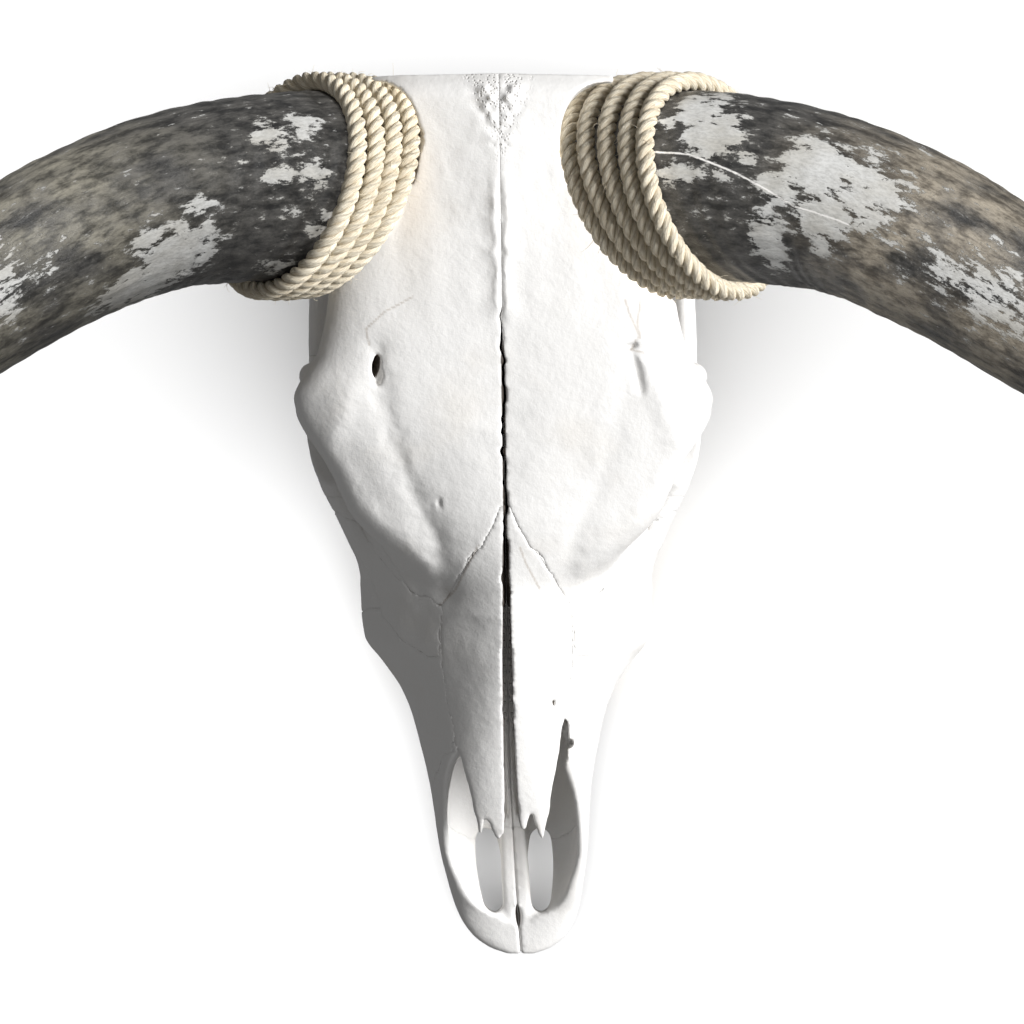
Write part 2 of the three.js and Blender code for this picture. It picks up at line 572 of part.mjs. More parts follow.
function sutures() {
  const bothSides = (line, z0, z1) => pair((side) => wallCut(mirrored(side, line), z0, z1));
  const level = (line, z) => pair((side) => levelCut(mirrored(side, line), z));
  const across = (y, x, z0, z1) => bothSides([[0, y], [x, y]], z0, z1);
  const frontal = [...FRONTAL_EDGE, [FAR, REAR], [0, REAR]];
  const palatine = [[0, PALATINE.front], [PALATINE.x, PALATINE.front], [PALATINE.x, SUTURE.behindTeeth],
    [0, SUTURE.behindTeeth]];
  const cheekFront = [[CHEEK.x, CHEEK.front], [FAR, CHEEK.frontOut]];
  const cheekRear = [[CHEEK.x, CHEEK.rear], [FAR, CHEEK.rearOut]];
  const lacrimal = [...LACRIMAL_EDGE, ...FRONTAL_EDGE.slice(3).reverse()];
  const underNasal = face(GAP / 6 - NASAL_THICKNESS).subtract(face(-NASAL_THICKNESS - GAP));
  // the cut along the midline follows the lean, and stops over the one-piece bones of the base
  const snout = [-300, -260, -220, -180, -140, LEAN.bendFrom];
  const midline = [
    ...snout.map((y) => [y, TOP]),
    [REAR, TOP],
    ...frontalUnder().slice(1).reverse(),
    [SUTURE.behindTeeth, SUTURE.frontal],
    [SUTURE.behindTeeth, -1],
    ...snout.reverse().map((y) => [y, -1]),
  ];
  const nasalOutline = (side) => solid(prism(mirrored(side, NASAL_BONE), 90, TOP));
  const frontalCut = solid(sideOn([...frontalUnder(-GAP / 2), ...frontalUnder(GAP / 2).reverse()], -FAR, FAR))
    .intersect(pair((side) => solid(prism(mirrored(side, frontal), 0, TOP))));
  const roundCores = pair((side) => hornCore(side, GAP).subtract(hornCore(side)))
    .subtract(overFrontalUnder());
  return union([
    without(frontalCut, [hornCore(-1, GAP), hornCore(1, GAP)]),
    roundCores,
    bothSides(FRONTAL_EDGE.slice(0, 4), SUTURE.frontal, TOP),
    bothSides(FRONTAL_EDGE.slice(3), SUTURE.lacrimal, TOP),
    bothSides(NASAL_BONE.slice(3, 7), SUTURE.nasal, TOP),
    underNasal.intersect(pair(nasalOutline)),
    bothSides(LACRIMAL_EDGE, SUTURE.lacrimal, TOP),
    level(lacrimal, SUTURE.lacrimal),
    slopingCut(...SUTURE.snout, -FAR, FAR).subtract(nasalRoom()),
    bothSides([cheekRear[0], ...cheekFront], SUTURE.zygomatic, SUTURE.lacrimal),
    bothSides([[FAR, CHEEK.step], [CHEEK.x, CHEEK.step], cheekRear[0]], SUTURE.lacrimal, SUTURE.frontal),
    bothSides(cheekRear, SUTURE.zygomatic, SUTURE.frontal),
    level([[CHEEK.x, CHEEK.step], ...cheekFront, [FAR, CHEEK.step]], SUTURE.lacrimal),
    level([cheekRear[0], ...cheekFront, cheekRear[1]], SUTURE.zygomatic),
    across(SUTURE.behindTeeth, FAR, -1, SUTURE.zygomatic),
    across(SUTURE.behindTeeth, CHEEK.x + 14, SUTURE.zygomatic, SUTURE.frontal),
    bothSides(BRAIN_WALL, -1, SUTURE.frontal),
    across(SUTURE.nape, FAR, -1, SUTURE.frontal),
    bothSides(palatine.slice(0, 3), SUTURE.palate, SUTURE.palatine),
    level(palatine, SUTURE.palatine),
    solid(sideOn(midline, -GAP / 2, GAP / 2)),
  ]);
}

const whole = without(wholeSkull(), Object.entries(SIDES).flatMap(([name, side]) =>
  [hornRoom(side), ropeRoom(name, side).subtract(hornCore(side, GAP))]));

/** The bones of the skull, each found by a point inside it. */
function bonesOf(made) {
  const nasals = nasalRoom();
  const rest = made.subtract(nasals);
  const pieces = [made.intersect(nasals), rest.intersect(frontalRoom()), rest.subtract(frontalRoom())]
    .flatMap(separate);
  const bones = {};
  for (const [name, [x, y, z]] of Object.entries(BONES)) {
    for (const [sideName, side] of Object.entries(x === 0 ? { "": 1 } : SIDES)) {
      const probe = solid(new THREE.BoxGeometry(1, 1, 1).translate(side * x, y, z));
      const label = sideName ? `${name}_${sideName}` : name;
      bones[label] = pieces.find((piece) => piece.intersect(probe).getMesh().triVerts.length > 0);
    }
  }
  return bones;
}

// ---------------------------------------------------------------- the part
const root = new THREE.Group();
const materials = {
  bone: new THREE.MeshStandardMaterial({ color: COLOURS.bone, roughness: 0.75, metalness: 0 }),
  horn: new THREE.MeshStandardMaterial({ color: COLOURS.horn, roughness: 0.55, metalness: 0 }),
  rope: new THREE.MeshStandardMaterial({ color: COLOURS.rope, roughness: 0.9, metalness: 0 }),
};
function add(name, made, material) {
  const mesh = new THREE.Mesh(geometryOf(made), material);
  mesh.name = name;
  mesh.position.set(...ORIGIN_SHIFT);
  root.add(mesh);
}
const bones = bonesOf(whole.subtract(sutures()));
for (const [name, bone] of Object.entries(bones)) add(name, bone, materials.bone);
for (const [name, side] of Object.entries(SIDES)) {
  add("horn_" + name, horn(side), materials.horn);
  add("rope_" + name, rope(name, side), materials.rope);
}

export default root;
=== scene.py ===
# %% [markdown]
# # A longhorn cow skull with rope round its horns
#
# The skull lies forehead up on a pale floor. The solids of the frame give every bone, horn and rope its
# place and size, and this lesson gives them the skin of the real thing. The bones come first, as one
# field of distances that is parted along the sutures. Horns and ropes follow, as profiles carried along
# a path. Materials, light and camera close the lesson.

import bpy
import numpy as np
import openvdb
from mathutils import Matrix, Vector


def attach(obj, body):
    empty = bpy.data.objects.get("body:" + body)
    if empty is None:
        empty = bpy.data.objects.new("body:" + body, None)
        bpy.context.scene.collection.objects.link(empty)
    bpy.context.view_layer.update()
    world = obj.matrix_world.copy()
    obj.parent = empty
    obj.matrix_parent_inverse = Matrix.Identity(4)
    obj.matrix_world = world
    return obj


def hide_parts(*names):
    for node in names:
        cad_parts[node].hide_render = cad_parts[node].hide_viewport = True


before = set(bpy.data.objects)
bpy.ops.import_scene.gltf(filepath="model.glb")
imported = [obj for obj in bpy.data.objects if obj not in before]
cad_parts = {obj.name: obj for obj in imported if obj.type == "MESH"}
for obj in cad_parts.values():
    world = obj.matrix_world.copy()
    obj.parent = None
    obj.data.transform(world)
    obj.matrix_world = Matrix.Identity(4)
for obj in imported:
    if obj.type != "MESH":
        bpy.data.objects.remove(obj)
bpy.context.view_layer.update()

# %% [markdown]
# ## Measures
#
# All shapes are worked out in millimetres, in a frame whose Y axis is the skull's midline, and are moved
# and scaled to metres at the very end. A skull is never quite straight. This one leans by a degree, and
# the last third of its snout bends to one side. The lean is a function of Y that is added at the end, so
# that both halves can be made as mirror images first.

# %% Units and the lean of the skull
MM = 0.001
SHIFT = np.array([3.8, 5.9, 0.0])  # from the skull's own frame to the part's, in millimetres
VOXEL = 1.44
SIDES = {"left": -1, "right": 1}
LEAN = {"offset": 1.9, "slope": -0.0145, "bend": 1.7e-4, "bend_from": -100}


def lean(y):
    """Sideways shift at a place along Y: a steady slope, plus a square that starts at bend_from."""
    bent = np.minimum(0, y - LEAN["bend_from"]) ** 2
    return LEAN["offset"] + LEAN["slope"] * y + LEAN["bend"] * bent


def through(pairs):
    """Smooth curve through [place, value] pairs: a cubic a span, whose end slopes are the harmonic mean
    of the chords on both sides, or level where the chords change sign, so that it never overshoots."""
    x, v = np.array(pairs, float).T
    step = np.diff(x)
    slope = np.diff(v) / step
    product = slope[:-1] * slope[1:]
    total = np.where(product > 0, slope[:-1] + slope[1:], 1)
    tangent = np.concatenate([slope[:1], np.where(product > 0, 2 * product / total, 0), slope[-1:]])

    def at(q):
        q = np.clip(q, x[0], x[-1])
        i = np.clip(np.searchsorted(x, q, side="right") - 1, 0, len(step) - 1)
        t = (q - x[i]) / step[i]
        rise = v[i + 1] - v[i]
        c = 3 * rise - step[i] * (2 * tangent[i] + tangent[i + 1])
        d = step[i] * (tangent[i] + tangent[i + 1]) - 2 * rise
        return v[i] + t * (step[i] * tangent[i] + t * (c + t * d))

    return at


# %% [markdown]
# ## The bones as a field
#
# A skull is full of holes, arches and thin walls, so no single surface of two parameters can follow it.
# It is made another way: a block of voxels holds, at every point, the distance to the bone's surface,
# less than nothing inside. Bodies are joined by a smooth minimum and openings are cut by a smooth
# maximum, which rounds every edge as bone is rounded. The field holds one half of the skull, and each
# side gets its own breaks and holes afterwards.

# %% The block of voxels for half a skull
FAR = 9.0  # distance that stands for "nowhere near"
GX = (np.arange(-4, int(150 / VOXEL)) * VOXEL).astype(np.float32)
GY = np.arange(-294, 283, VOXEL).astype(np.float32)
GZ = np.arange(-4, 216, VOXEL).astype(np.float32)
SHAPE = (len(GX), len(GY), len(GZ))
PX, PY, PZ = GX[:, None, None], GY[None, :, None], GZ[None, None, :]
print("half a skull in", SHAPE, "voxels of", VOXEL, "mm")


def join(a, b, k=5.0):
    """Smooth minimum: min(a, b) less k h^2 / 4, where h falls from 1 to 0 as |a - b| goes from 0 to k."""
    h = np.maximum(k - np.abs(a - b), 0) / k
    return np.minimum(a, b) - h * h * (k / 4)


def cut(a, b, k=4.0):
    """Smooth subtraction of b from a: the smooth minimum of -a and b, turned round."""
    return -join(-a, b, k)


def body(table, first, last, grow=0.0):
    """Body along Y. Each section is a superellipse, (|x|/w)^n + (|z - m|/h)^n = 1, with its own height h
    and fullness n over and under the widest line m. The distance is taken along the ray from m."""
    rows = {}
    for key, value in table.items():
        row = through(value)(GY) if isinstance(value, list) else np.full(len(GY), value)
        rows[key] = row.astype(np.float32)[:, None]
    dz = GZ[None, :] - rows["widest"]
    over = dz > 0
    height = np.where(over, rows["crown"] - rows["widest"], rows["widest"] - rows["under"]) + grow
    height = np.maximum(height, 1)
    full = np.where(over, rows["upper"], rows["lower"])
    a = np.abs(PX) / (rows["width"] + grow)[None]
    total = np.where(over[None], a ** rows["upper"][None], a ** rows["lower"][None])
    total = total + ((np.abs(dz) / height) ** full)[None]
    rho = np.exp(np.log(total + 1e-9) / full[None])
    far = np.sqrt(PX**2 + (dz**2)[None])
    d = far * (1 - 1 / np.maximum(rho, 0.02))
    return np.maximum(d, np.maximum(first - PY, PY - last)).astype(np.float32)


def turned(turn):
    """Matrix that turns by three angles about X, then Y, then Z."""
    (a, b, c), s, k = turn, np.sin(turn), np.cos(turn)
    rx = np.array([[1, 0, 0], [0, k[0], -s[0]], [0, s[0], k[0]]])
    ry = np.array([[k[1], 0, s[1]], [0, 1, 0], [-s[1], 0, k[1]]])
    rz = np.array([[k[2], -s[2], 0], [s[2], k[2], 0], [0, 0, 1]])
    return rx @ ry @ rz


def eggs(centres, sizes, turn=(0, 0, 0), room=FAR):
    """Union of egg shapes: the distance to each is |p| (1 - 1 / |p / size|), within its own small box."""
    field = np.full(SHAPE, FAR, np.float32)
    matrix = turned(turn)
    for centre, size in zip(np.atleast_2d(centres), np.atleast_2d(sizes)):
        reach = np.abs(matrix) @ size + room
        box = tuple(
            slice(*np.searchsorted(g, [c - r, c + r])) for g, c, r in zip((GX, GY, GZ), centre, reach)
        )
        p = [g[s] - c for g, s, c in zip((GX, GY, GZ), box, centre)]
        p = np.stack(np.broadcast_arrays(p[0][:, None, None], p[1][None, :, None], p[2][None, None, :]))
        q = np.tensordot(matrix.T, p, 1) / np.array(size)[:, None, None, None]
        rho = np.sqrt((q**2).sum(0)) + 1e-6
        d = np.sqrt((p**2).sum(0)) * (1 - 1 / rho)
        field[box] = np.minimum(field[box], d)
    return field


def bar(points, wide, tall, up="z", count=60):
    """Bar along a smooth path: a string of eggs so close that they merge. wide and tall are its radii,
    as curves from 0 to 1; tall is measured along up, and wide along the other two axes."""
    points = np.array(points, float)
    places = np.linspace(0, 1, len(points))
    t = np.linspace(0, 1, count)
    path = np.stack([through(np.column_stack([places, c]))(t) for c in points.T], 1)
    w, h = through(wide)(t), through(tall)(t)
    sizes = np.stack([w, w, h] if up == "z" else [w, h, w], 1)
    return eggs(path, sizes)


# %% [markdown]
# ## Main bodies
#
# Three long bodies make the skull: the roof, which is the broad forehead up to the poll, the face with
# the snout, and the core round the brain. Their stations along Y are the same that the solids have.

# %% Stations of the main bodies
POLL_Y, MUZZLE_Y = 272, -288
ROOF = {
    "width": [[-52, 20], [-30, 62], [-4, 94], [28, 108], [50, 124], [71, 131], [100, 116], [140, 108],
              [250, 104], [POLL_Y, 84]],
    "crown": [[-52, 150], [-30, 170], [0, 184], [60, 201], [120, 207], [200, 210], [257, 209], [POLL_Y, 198]],
    "widest": [[-52, 140], [-4, 152], [28, 166], [60, 172], [100, 176], [200, 178], [POLL_Y, 172]],
    "under": [[-52, 120], [0, 124], [60, 136], [200, 140], [POLL_Y, 138]],
    "upper": 3, "lower": 2,
}
FACE = {
    "width": [[MUZZLE_Y, 9], [-284, 20], [-275, 31], [-262, 38.5], [-246, 43], [-218, 48], [-186, 51],
              [-134, 61.5], [-115, 68.5], [-97, 80], [-80, 92], [-58, 94], [-28, 94], [-8, 92], [14, 84],
              [36, 66]],
    "crown": [[MUZZLE_Y, 36], [-262, 46], [-240, 76], [-212, 111], [-134, 140], [-75, 162], [-30, 176],
              [0, 184], [36, 186]],
    "widest": [[MUZZLE_Y, 31], [-262, 34], [-212, 50], [-134, 56], [-75, 66], [-30, 80], [14, 100],
               [36, 105]],
    "under": [[MUZZLE_Y, 27], [-262, 24], [-218, 31], [-134, 34], [-100, 34], [36, 44]],
    "upper": [[MUZZLE_Y, 2.5], [-212, 2.6], [-134, 1.9], [-95, 1.5], [-60, 1.4], [-20, 1.7], [36, 2.4]],
    "lower": 3,
}
CORE = {
    "width": [[20, 76], [50, 62], [84, 56], [120, 58], [165, 72], [215, 84], [258, 76]],
    "crown": [[20, 170], [120, 185], [258, 190]],
    "widest": [[20, 108], [120, 112], [258, 112]],
    "under": [[20, 44], [60, 56], [120, 60], [200, 50], [258, 62]],
    "upper": 2.4, "lower": 2.4,
}
NOSE = {
    "width": [[-266, 10], [-258, 26], [-240, 34], [-218, 41], [-186, 43], [-160, 41], [-130, 33], [-60, 29],
              [-20, 22]],
    "crown": [[-266, 110], [-212, 125], [-134, 146], [-75, 162], [-20, 150]],
    "widest": [[-266, 60], [-134, 70], [-20, 100]],
    "under": [[-266, 41], [-218, 41], [-134, 46], [-20, 70]],
    "upper": [[-218, 2.6], [-134, 2]], "lower": 3.5,
}
RIM = [[-300, 34], [-275, 40], [-262, 45], [-240, 62], [-218, 77], [-186, 96], [-160, 113]]
RIM_END = {"left": [[-145, 134], [-138, 170]], "right": [[-146, 119], [-130, 136], [-122, 170]]}
NASAL_THICKNESS = 5.5
NASAL_LOWEST = 88

# %% [markdown]
# ## Plans
#
# Seen from above, the edges of the bones are open or closed lines. The signed distance to such an
# outline, on the flat grid of X and Y, is enough to cut a bone out along upright walls. Real sutures
# wander, so every outline is read at places that a soft noise has pushed about by a millimetre.


# %% Noise and outlines
def noise(cell, seed, shape=SHAPE, spacing=VOXEL):
    """Soft noise: random values on a coarse lattice, blended along each axis by 3t^2 - 2t^3."""
    out = np.random.default_rng(seed).standard_normal([int(n * spacing / cell) + 2 for n in shape])
    out = out.astype(np.float32)
    for axis, n in enumerate(shape):
        place = np.arange(n) * spacing / cell
        i = place.astype(int)
        t = (place - i).astype(np.float32)
        t = (t * t * (3 - 2 * t)).reshape([-1 if a == axis else 1 for a in range(len(shape))])
        out = out.take(i, axis) * (1 - t) + out.take(i + 1, axis) * t
    return out


PLAN = SHAPE[:2]
WANDER = [1.1 * noise(7, seed, PLAN) + 0.5 * noise(3.5, seed + 9, PLAN) for seed in (1, 2)]


def outline(points, wander=1.0):
    """Signed distance to a closed outline in plan: the least distance to its sides, negative where a
    ray crosses them an odd number of times."""
    x = GX[:, None] + wander * WANDER[0]
    y = GY[None, :] + wander * WANDER[1]
    best = np.full(PLAN, 1e9)
    inside = np.zeros(PLAN, bool)
    for (x0, y0), (x1, y1) in zip(points, points[1:] + points[:1]):
        ex, ey = x1 - x0, y1 - y0
        t = np.clip(((x - x0) * ex + (y - y0) * ey) / (ex * ex + ey * ey), 0, 1)
        best = np.minimum(best, (x - x0 - t * ex) ** 2 + (y - y0 - t * ey) ** 2)
        if ey:
            inside ^= ((y0 > y) != (y1 > y)) & (x < x0 + (y - y0) * ex / ey)
    return (np.sqrt(best) * np.where(inside, -1, 1)).astype(np.float32)


NASAL_TIPS = {  # two prongs a side with a notch between, as [distance from the midline, Y]
    "left": [[21.6, -210], [18.5, -203], [17, -197], [14.5, -200], [12, -208], [9, -210], [6, -206]],
    "right": [[20.5, -206], [18.6, -211], [15, -205], [12.3, -193], [10, -198], [8.5, -207], [6.5, -203]],
}
NASAL_SIDE = [[-3, 7], [3, 3], [10, -13], [16, -21], [24, -33], [41, -59], [41, -96], [35, -138], [28, -172],
              [23.5, -195]]
NASAL_GAP = [[-205, 5.5], [-185, 4.0], [-150, 3.4], [-110, 3.1], [-60, 2.2], [-22, 1.8], [-14, 0.8],
             [0, 0.9], [95, 0.8], [120, 0.3], [140, 0.0]]
FRONTAL_EDGE = [[0, -12], [17, -21], [24, -32], [41, -59], [60, -50], [80, -28], [97, -6], [150, 20]]
LACRIMAL_EDGE = [[41, -59], [44, -92], [66, -84], [88, -52], [104, -20], [150, 0]]
gap = (through(NASAL_GAP)(GY)[None, :] * (1 + 0.12 * WANDER[0])).astype(np.float32)
print("the crack along the midline is up to", round(2 * float(gap.max()), 1), "mm wide")

# %% [markdown]
# ## Joining and cutting the half skull
#
# The order is the real skull's logic. First the solid mass, then the hollows of temple and jaw, then the
# thin arch of the cheek and the bar behind the eye that span them, then eye sockets, nose, palate and
# the way of the spinal cord. The teeth come last, so that nothing cuts them.

# %% Arch, processes and the bodies joined
ARCH = [[84, -30, 84], [100, 2, 100], [112, 26, 108], [118, 60, 106], [117, 100, 98], [116, 140, 94],
        [104, 178, 94], [74, 204, 96]]
ARCH_WIDE = [[0, 11], [0.35, 8], [0.75, 7.5], [1, 18]]
ARCH_TALL = [[0, 18], [0.3, 12], [0.45, 16], [0.6, 11], [1, 17]]
POSTORBITAL = [[112, 82, 176], [120, 86, 150], [119, 88, 112]]
TEMPLE = [[104, 102, 134], [103, 150, 134], [110, 200, 128], [132, 262, 122]]
JAW = [[88, 98, 60], [88, 122, 72], [87, 160, 72]]
PTERYGOID = [[25, 66, 62], [25, 80, 48], [24, 96, 32], [25, 108, 20]]
PROCESS = [[62, 214, 70], [64, 214, 30], [62, 214, -6]]
CONDYLE = {"at": [31, 246, 64], "size": [20, 20, 26], "turn": (0.3, 0, 0.5)}
EAR = {"at": [48, 182, 53], "size": [11, 17, 18]}

roof = body(ROOF, -52, POLL_Y)
face = body(FACE, MUZZLE_Y, 36)
skull = join(join(roof, face, 24), body(CORE, 20, 258), 14)
skull = join(skull, eggs(CONDYLE["at"], CONDYLE["size"], CONDYLE["turn"]), 6)
skull = join(skull, eggs(EAR["at"], EAR["size"]), 4)
skull = join(skull, bar(PTERYGOID, [[0, 4], [1, 4]], [[0, 20], [1, 7]]), 4)
skull = join(skull, bar(PROCESS, [[0, 15], [0.5, 9], [1, 7]], [[0, 21], [1, 7]], "y"), 6)
skull = join(skull, bar([[0, 96, 60], [0, 170, 52], [0, 244, 60]], [[0, 19], [1, 31]], [[0, 12], [1, 12]]), 6)
skull = cut(skull, bar(TEMPLE, [[0, 30], [1, 30]], [[0, 27], [1, 30]]), 8)
skull = cut(skull, bar(JAW, [[0, 18], [1, 18]], [[0, 56], [1, 56]]), 8)
skull = join(skull, bar(ARCH, ARCH_WIDE, ARCH_TALL, count=120), 6)
skull = join(skull, bar(POSTORBITAL, [[0, 10], [1, 7]], [[0, 9], [1, 9]]), 7)
print("bodies joined:", round(float((skull < 0).sum()) * VOXEL**3 * 2e-6, 2), "litres")

# %% [markdown]
# ## Relief of the forehead
#
# Between the smooth bodies and a real forehead lie a few soft forms: the raised pad over each eye, the
# valley on its inner side that runs down to the cheek, the twin ridge along the midline below the poll,
# and the shallow dish beside it. Each is a line in plan with a height and a width, and adds
# height * exp(-(distance / width)^2) to the surface.

# %% Relief as lines in plan
RELIEF = [  # height, width and the line, in plan
    (3.2, 9, [[99, 72], [108, 40], [93, 6], [66, -18], [50, -33]]),
    (-3.4, 8, [[79, 100], [76, 72], [70, 45], [58, 15], [46, -12], [37, -50]]),
    (2.0, 9, [[0, 130], [0, 190]]),
    (1.4, 15, [[0, 208], [0, 262]]),
    (0.6, 1.8, [[2.6, 128], [3.2, 170], [4.4, 206]]),
    (-1.1, 1.6, [[0, 120], [0, 204]]),
    (-3.5, 24, [[42, 190], [44, 235]]),
    (1.6, 22, [[34, 60], [30, 0]]),
    (-1.5, 12, [[60, 130], [62, 180]]),
    (1.8, 5, [[0, 268], [60, 268], [86, 262]]),
    (-2.2, 10, [[54, -40], [60, -90], [52, -130]]),
    (1.5, 6, [[84, -84], [62, -112], [58, -150]]),
]


def line_relief(height, width, line):
    """height * exp(-(d / width)^2), d being the distance in plan to an open line, a little wandered."""
    best = np.full(PLAN, 1e9)
    x = GX[:, None] + 0.8 * WANDER[0]
    for (x0, y0), (x1, y1) in zip(line, line[1:]):
        ex, ey = x1 - x0, y1 - y0
        t = np.clip(((x - x0) * ex + (GY - y0) * ey) / (ex * ex + ey * ey), 0, 1)
        best = np.minimum(best, (x - x0 - t * ex) ** 2 + (GY - y0 - t * ey) ** 2)
    return (height * np.exp(-best / width**2)).astype(np.float32)


relief = sum(line_relief(*row) for row in RELIEF)
WEDGE = {  # the porous wedge at the poll, which narrows to a point
    "apex": 206, "half_width": 26, "edge": 9, "end": 268, "fade": 6, "pores": 0.9, "depth": 0.4,
}
half_width = WEDGE["half_width"] * (GY - WEDGE["apex"]) / (POLL_Y - WEDGE["apex"])
wedge = np.clip((half_width - np.abs(GX)[:, None]) / WEDGE["edge"], 0, 1) * (GY > WEDGE["apex"])
pores = WEDGE["pores"] * (noise(3.6, 5, PLAN) + 0.7 * noise(7, 6, PLAN)) - WEDGE["depth"]
ended = np.clip((WEDGE["end"] - GY) / WEDGE["fade"], 0, 1)
relief = relief + (wedge * ended * pores).astype(np.float32)
UPPER_SIDE = {"from": 112, "over": 40}  # heights between which the relief grows to its full size
skyward = np.clip((GZ - UPPER_SIDE["from"]) / UPPER_SIDE["over"], 0, 1)[None, None, :] ** 0.5
skull = skull - relief[:, :, None] * skyward
UNEVEN = ((0.18, 13, 11), (0.05, 5, 12))  # height, cell and seed of the bone's unevenness
skull = skull - sum(height * noise(cell, seed) for height, cell, seed in UNEVEN)
print("relief from", round(float(relief.min()), 1), "to", round(float(relief.max()), 1), "mm")

# %% [markdown]
# ## Openings
#
# The eye socket is an egg that is turned outwards and forwards, with a raised rim where it breaks the
# surface. The nose is a trough that the nasal bones roof over. Everything above the slanting edge of the
# snout's walls is taken away, except those two bones.

# %% Sockets, nose, palate and nape
ORBIT = {"at": [120, 42, 143], "size": [50, 33, 31], "turn": (0.28, -0.3, -0.3)}
socket = eggs(ORBIT["at"], ORBIT["size"], ORBIT["turn"], room=20)
ORBIT_RIM = {"height": 1.6, "width": 4}
skull = skull - ORBIT_RIM["height"] * np.exp(-((socket / ORBIT_RIM["width"]) ** 2))
skull = cut(skull, socket, 3)
inner_face = body(FACE, MUZZLE_Y, 36, -NASAL_THICKNESS)


def nasal_room(side):
    """All over the underside of one nasal bone, inside its outline: negative there."""
    plan = outline(NASAL_SIDE + NASAL_TIPS[side] + [[-3, -205]], 0.35)
    return np.maximum(np.maximum(plan[:, :, None], -inner_face), NASAL_LOWEST - PZ)


NAPE_TILT = 0.13
nape = (PY - 273.5) * np.cos(NAPE_TILT) - (PZ - 67.8) * np.sin(NAPE_TILT)
fissure = bar([[15, -259, 34], [16.5, -232, 36], [18, -208, 38]],
              [[0, 2], [0.12, 7], [0.5, 8.5], [0.88, 7], [1, 2]], [[0, 24], [1, 24]])
palate = bar([[0, -160, 25], [0, -60, 26], [0, 30, 30]], [[0, 25], [1, 40]], [[0, 12], [1, 12]])
choana = bar([[0, 24, 50], [0, 66, 52], [0, 100, 48]], [[0, 18], [1, 18]], [[0, 16], [1, 16]])
magnum = bar([[0, 212, 96], [0, 290, 86]], [[0, 18], [1, 18]], [[0, 18], [1, 18]])
condyle = eggs(CONDYLE["at"], CONDYLE["size"], CONDYLE["turn"])
skull = cut(skull, np.maximum(-nape, -condyle), 4)
nose = body(NOSE, -266, -20)


def above_rim(side):
    """Above the sloping edge of the snout's wall: that edge's height less Z, up to the notch's end."""
    edge = RIM + RIM_END[side]
    return np.maximum(through(edge)(GY)[None, :, None] - PZ, PY - edge[-1][0]).astype(np.float32)


for hollow in (fissure, palate, choana, magnum):
    skull = cut(skull, hollow, 3)

# %% [markdown]
# ## Teeth
#
# Six cheek teeth a side, worn flat. From the side a molar shows two lobes with a furrow between, so the
# tooth's outline in plan is a rounded oblong whose cheek side swings in and out by a cosine.

# %% Cheek teeth
TEETH = {"lengths": [31, 29, 26, 20, 18, 16], "widths": [25, 27, 25, 22, 19, 15], "rear": 24, "x": 62,
         "step": 1.6, "root": 46, "furrow": 1.6, "corner": 4}


def teeth():
    """Union of rounded oblongs in plan, from the flat at Z = 0 up to the root."""
    field = np.full(PLAN, FAR, np.float32)
    rear = TEETH["rear"]
    for i, (length, width) in enumerate(zip(TEETH["lengths"], TEETH["widths"])):
        lobes = 2 if i < 3 else 1
        y = GY - (rear - length / 2)
        sway = TEETH["furrow"] * (1 - np.cos(2 * np.pi * lobes * (y / length + 0.5))) / 2
        x = np.abs(GX[:, None] - (TEETH["x"] - TEETH["step"] * i)) + (TEETH["furrow"] - sway)[None, :]
        over_x = x - width / 2 + TEETH["corner"]
        over_y = (np.abs(y) - length / 2 + TEETH["corner"] + 0.7)[None, :]
        oblong = np.hypot(np.maximum(over_x, 0), np.maximum(over_y, 0)) - TEETH["corner"]
        field = np.minimum(field, oblong)
        rear -= length
    return np.maximum(field[:, :, None] + 0.02 * (20 - PZ), PZ - TEETH["root"])


tooth = teeth()
print("teeth stand on", len(TEETH["lengths"]), "flats a side")

# %% [markdown]
# ## Horns: the axis
#
# A horn is a long cone whose axis turns in space. Two angles give its direction at every length along
# it: how far it drops towards the muzzle, and how far it rises. Adding up the steps gives the axis. The
# bone field needs it too, because the bone is hollowed out round the horn's root and the rope.

# %% The horn's axis
HORN = {
    "length": 860, "start": (68, 198.6, 138), "shift": -3.8, "core_radius": 59.4,
    "root": {"left": 35.5, "right": 26.5},
    "drop": [[0, -15], [60, 0], [150, 13], [230, 27], [330, 35], [480, 30], [680, 8], [860, -14]],
    "rise": [[0, 42], [80, 40], [180, 33], [320, 22], [500, 13], [680, 20], [860, 42]],
    "radius": [[0, 60], [42, 60], [110, 57.6], [150, 55.2], [240, 52], [300, 49.5], [450, 43], [600, 34],
               [730, 23], [820, 12], [860, 2]],
    "slant": [[0, 0.38], [115, 0.38], [210, 0]],
}
ROPE = {
    "diameter": 12.0, "pitch": {"left": 12.9, "right": 13.8}, "first": {"left": 39, "right": 30},
    "turns": {"left": 4, "right": 5}, "start": -2.4,
}
STEP = 5.0
horn_radius = through(HORN["radius"])
slant = through(HORN["slant"])


def horn_axis(side):
    """Points every 5 mm: step = (side cos r cos d, -cos r sin d, sin r), d the drop and r the rise."""
    s = np.arange(STEP / 2, HORN["length"], STEP)
    drop, rise = (np.radians(through(HORN[k])(s)) for k in ("drop", "rise"))
    step = np.stack([side * np.cos(rise) * np.cos(drop), -np.cos(rise) * np.sin(drop), np.sin(rise)], 1)
    start = np.array([side * HORN["start"][0] + HORN["shift"], *HORN["start"][1:]])
    return np.vstack([start, start + STEP * np.cumsum(step, 0)])


def unit(v):
    """Vectors divided by their lengths."""
    return v / np.linalg.norm(v, axis=-1, keepdims=True)


